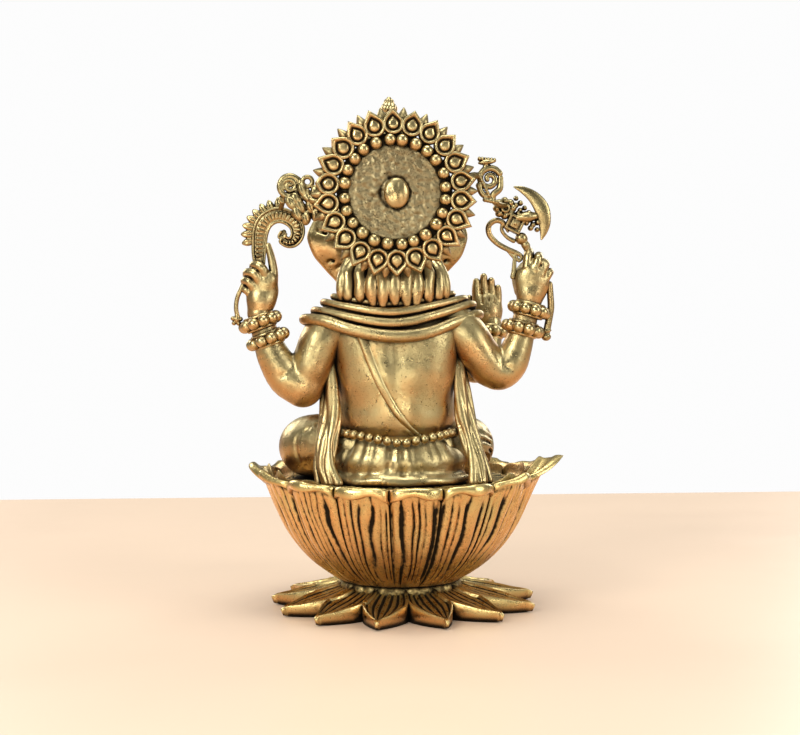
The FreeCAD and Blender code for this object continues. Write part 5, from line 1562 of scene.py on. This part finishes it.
def build_axe_head():
    """Square boss with a sunk panel, rows of beads and a rosette."""
    head = Clay(0.13)
    middle = row(-24.0, DEPTH, 81.75)
    head.add(slab(middle, (1.75, 1.15, 1.75), (0, -26, 0), 0.15))
    head.carve(slab(middle + row(0, 1.15, 0), (1.25, 0.3, 1.25), (0, -26, 0), 0.05), 0.05)
    head.carve(slab(middle - row(0, 1.15, 0), (1.25, 0.3, 1.25), (0, -26, 0), 0.05), 0.05)
    for face in (-1, 1):
        head.add(slab(middle + row(0, 0.75 * face, 0), (0.85, 0.45, 0.85), (0, -26, 0), 0.1), 0.05)
        head.add(egg(middle + row(0, 1.15 * face, 0), (0.4, 0.4, 0.4)), 0.05)
    for line, (start, count) in enumerate((((-24.3, 87.2), 6), ((-23.9, 85.7), 6), ((-24.0, 84.0), 4))):
        for step in range(count):
            x, z = start[0] - 0.92 * step - 0.35 * line, start[1] - 1.02 * step
            size = 0.62 if (line + step) % 2 else 0.55
            head.add(egg((x, DEPTH, z), (size, 1.1, size)), 0.04)
    head.add(flat_tube([(-23.4, 83.4, 1.0), (-22.4, 84.8, 1.3), (-22.2, 85.6, 1.1)], 1.5), 0.12)
    for turn in around(8):
        head.add(egg((-21.9 + 1.7 * math.cos(turn), DEPTH, 85.1 + 1.55 * math.sin(turn)),
                     (0.85, 1.1, 0.85)), 0.05)
    for face in (-0.95, 0.95):
        head.add(hoop((-21.9, DEPTH + face, 85.1), 0.75, 0.3), 0.05)
    head.add(flat_tube([(-24.6, 83.0, 0.9), (-26.4, 83.2, 1.3), (-28.2, 83.4, 0.9)], 0.7), 0.08)
    sculpt("axe_head", head, AGED)


def build_axe_blade():
    """Crescent blade."""
    blade = Clay(0.15)
    blade.add(flat_tube([(-24.0, 89.6, 0.30), (-26.0, 88.9, 0.85), (-28.2, 87.4, 1.35), (-29.8, 85.2, 1.65),
                         (-30.4, 82.6, 1.45), (-30.3, 80.4, 0.9), (-29.8, 78.6, 0.30)], 3.0))
    for face in (-0.55, 0.55):
        blade.engrave(groove([(-25.6, DEPTH + face, 88.3), (-28.0, DEPTH + face, 86.2),
                              (-29.2, DEPTH + face, 83.6), (-29.4, DEPTH + face, 81.0)], 0.16, 0.12))
    sculpt("axe_blade", blade, AGED)


def build_axe_ribbon():
    ribbon = Clay(0.13)
    ribbon.add(flat_tube([(-22.6, 80.2, 0.3), (-21.6, 82.0, 0.55), (-20.0, 82.5, 0.6), (-18.5, 81.4, 0.6),
                          (-18.7, 79.4, 0.62), (-20.4, 77.6, 0.6), (-22.6, 76.4, 0.58), (-24.6, 75.6, 0.5),
                          (-25.6, 74.8, 0.42), (-25.0, 74.0, 0.38), (-24.5, 74.6, 0.35)], 1.2), 0.1)
    ribbon.add(flat_tube([(-21.4, 82.0, 0.35), (-21.3, 80.4, 0.4), (-22.4, 79.0, 0.42), (-23.8, 78.2, 0.5)],
                         1.2), 0.1)
    ribbon.add(flat_tube([(-24.2, 75.4, 0.4), (-24.0, 73.6, 0.45), (-23.9, 71.8, 0.55), (-23.7, 70.6, 0.6)],
                         1.2), 0.1)
    ribbon.add(flat_tube([(-22.4, 76.3, 0.3), (-23.2, 75.4, 0.35), (-23.9, 74.6, 0.3)], 1.2), 0.1)
    sculpt("axe_ribbon", ribbon, AGED)


def spiral(centre, depth, radius, start, turns, thick, taper=0.35, hand=1):
    """Flat spiral of round wire, as a tube."""
    stations = []
    for share in np.linspace(0, 1, int(16 * turns)):
        angle = math.radians(start) + hand * share * turns * 2 * math.pi
        reach = radius * (1 - 0.82 * share)
        stations.append((centre[0] + reach * math.cos(angle), depth, centre[1] + reach * math.sin(angle),
                         thick * (1 - (1 - taper) * share)))
    return tube(stations, steps=2)


BRACKET_DEPTH = 9.6


def build_left_bracket():
    """Scroll, rings and a cluster of leaves between the halo and the goad."""
    depth = BRACKET_DEPTH
    left = Clay(0.14)
    left.add(spiral((23.6, 88.9), depth, 1.7, -20, 1.4, 0.62, 0.8, 1))
    left.add(hoop((23.6, depth, 88.9), 2.1, 0.62), 0.08)
    left.add(hoop((20.0, depth + 0.6, 89.8), 1.0, 0.48), 0.08)
    left.add(tube([(21.8, depth, 88.0, 0.75), (20.6, depth + 0.4, 86.8, 0.9),
                   (19.0, depth + 1.4, 86.0, 0.8), (17.4, 11.8, 85.6, 0.7)]), 0.12)
    left.add(tube([(21.8, depth, 90.4, 0.5), (21.2, depth + 0.2, 88.6, 0.6), (22.0, depth - 0.6, 86.4, 0.7),
                   (22.4, 7.4, 84.8, 0.7), (22.6, 5.4, 83.4, 0.7)]), 0.12)
    for x, z, lean in ((22.2, 86.2, 40), (20.0, 86.9, 10), (21.4, 84.8, 30), (19.4, 84.8, 10),
                       (22.0, 83.2, 25), (20.2, 82.4, -10), (23.4, 85.4, 35), (18.4, 87.6, 0),
                       (18.2, 83.2, -15), (21.0, 88.0, 20)):
        left.add(egg((x, depth + 0.7, z), (1.0, 0.9, 1.6), (0, lean, 0)), 0.08)
        left.engrave(groove([(x - 0.35, depth + 1.6, z - 0.9), (x + 0.35, depth + 1.6, z + 0.9)], 0.2, 0.26))
    left.add(hoop((25.0, 8.6, 86.3), 0.6, 0.36), 0.08)
    left.add(tube([(24.4, depth - 0.4, 87.2, 0.55), (25.0, 8.2, 86.0, 0.55), (25.4, 6.0, 84.8, 0.55)]), 0.1)
    sculpt("scroll_bracket_left", left, AGED)


def build_right_bracket():
    """Scroll with beads between the halo and the axe."""
    depth = BRACKET_DEPTH
    right = Clay(0.14)
    right.add(spiral((-17.8, 90.7), depth, 2.5, 150, 1.45, 0.72, 0.75, -1))
    right.add(tube([(-20.2, depth, 91.0, 0.6), (-20.0, depth, 88.8, 0.7), (-18.6, depth, 87.4, 0.7),
                    (-18.9, depth - 0.6, 86.2, 0.65), (-20.4, 7.2, 85.6, 0.6), (-21.8, 5.4, 85.6, 0.6)]),
              0.1)
    right.add(tube([(-15.6, depth + 0.1, 89.4, 0.65), (-16.4, depth + 0.1, 87.6, 0.65),
                    (-18.4, depth, 86.6, 0.6)]), 0.1)
    right.add(tube([(-15.4, depth + 0.2, 91.4, 0.7), (-14.2, 11.0, 91.2, 0.8), (-13.2, 12.0, 90.8, 0.8)]),
              0.1)
    for number in range(8):
        right.add(egg((-15.6 - 0.30 * number, depth + 0.55, 91.6 - 0.62 * number), (0.42, 0.45, 0.42)), 0.05)
    right.add(tube([(-16.9, depth, 93.0, 0.55), (-17.3, depth, 94.2, 0.5)]), 0.1)
    right.add(egg((-17.2, depth, 94.2), (1.8, 0.95, 0.55), (0, 6, 0)), 0.1)
    for number in range(6):
        right.add(egg((-15.7 - 0.64 * number, depth, 94.9 - 0.05 * number), (0.38, 0.7, 0.5)), 0.06)
    for number in range(5):
        right.add(egg((-16.9 - 0.62 * number, depth + 0.3, 86.4 - 0.12 * number), (0.55, 0.6, 0.5)), 0.06)
    sculpt("scroll_bracket_right", right, AGED)


# ================================================================ the whole
def main():
    for build in (build_floor, build_studio, build_camera,
                  build_foot, build_foot_petals, build_bowl, build_bowl_petals, build_seat, finish_fixings,
                  build_halo, build_torso, build_left_leg, build_right_leg, build_shawl,
                  build_rear_arms, build_front_arms, build_rear_left_hand, build_rear_right_hand,
                  build_front_right_hand, build_front_left_hand, build_sweet_bowl, build_bangles,
                  build_head, build_trunk, build_tusks, build_ears, build_hair,
                  build_crown_band, build_crown_cone, build_crown_finial,
                  build_goad, build_goad_leaves, build_goad_handle,
                  build_axe_shaft, build_axe_head, build_axe_blade, build_axe_ribbon,
                  build_left_bracket, build_right_bracket):
        build()


main()
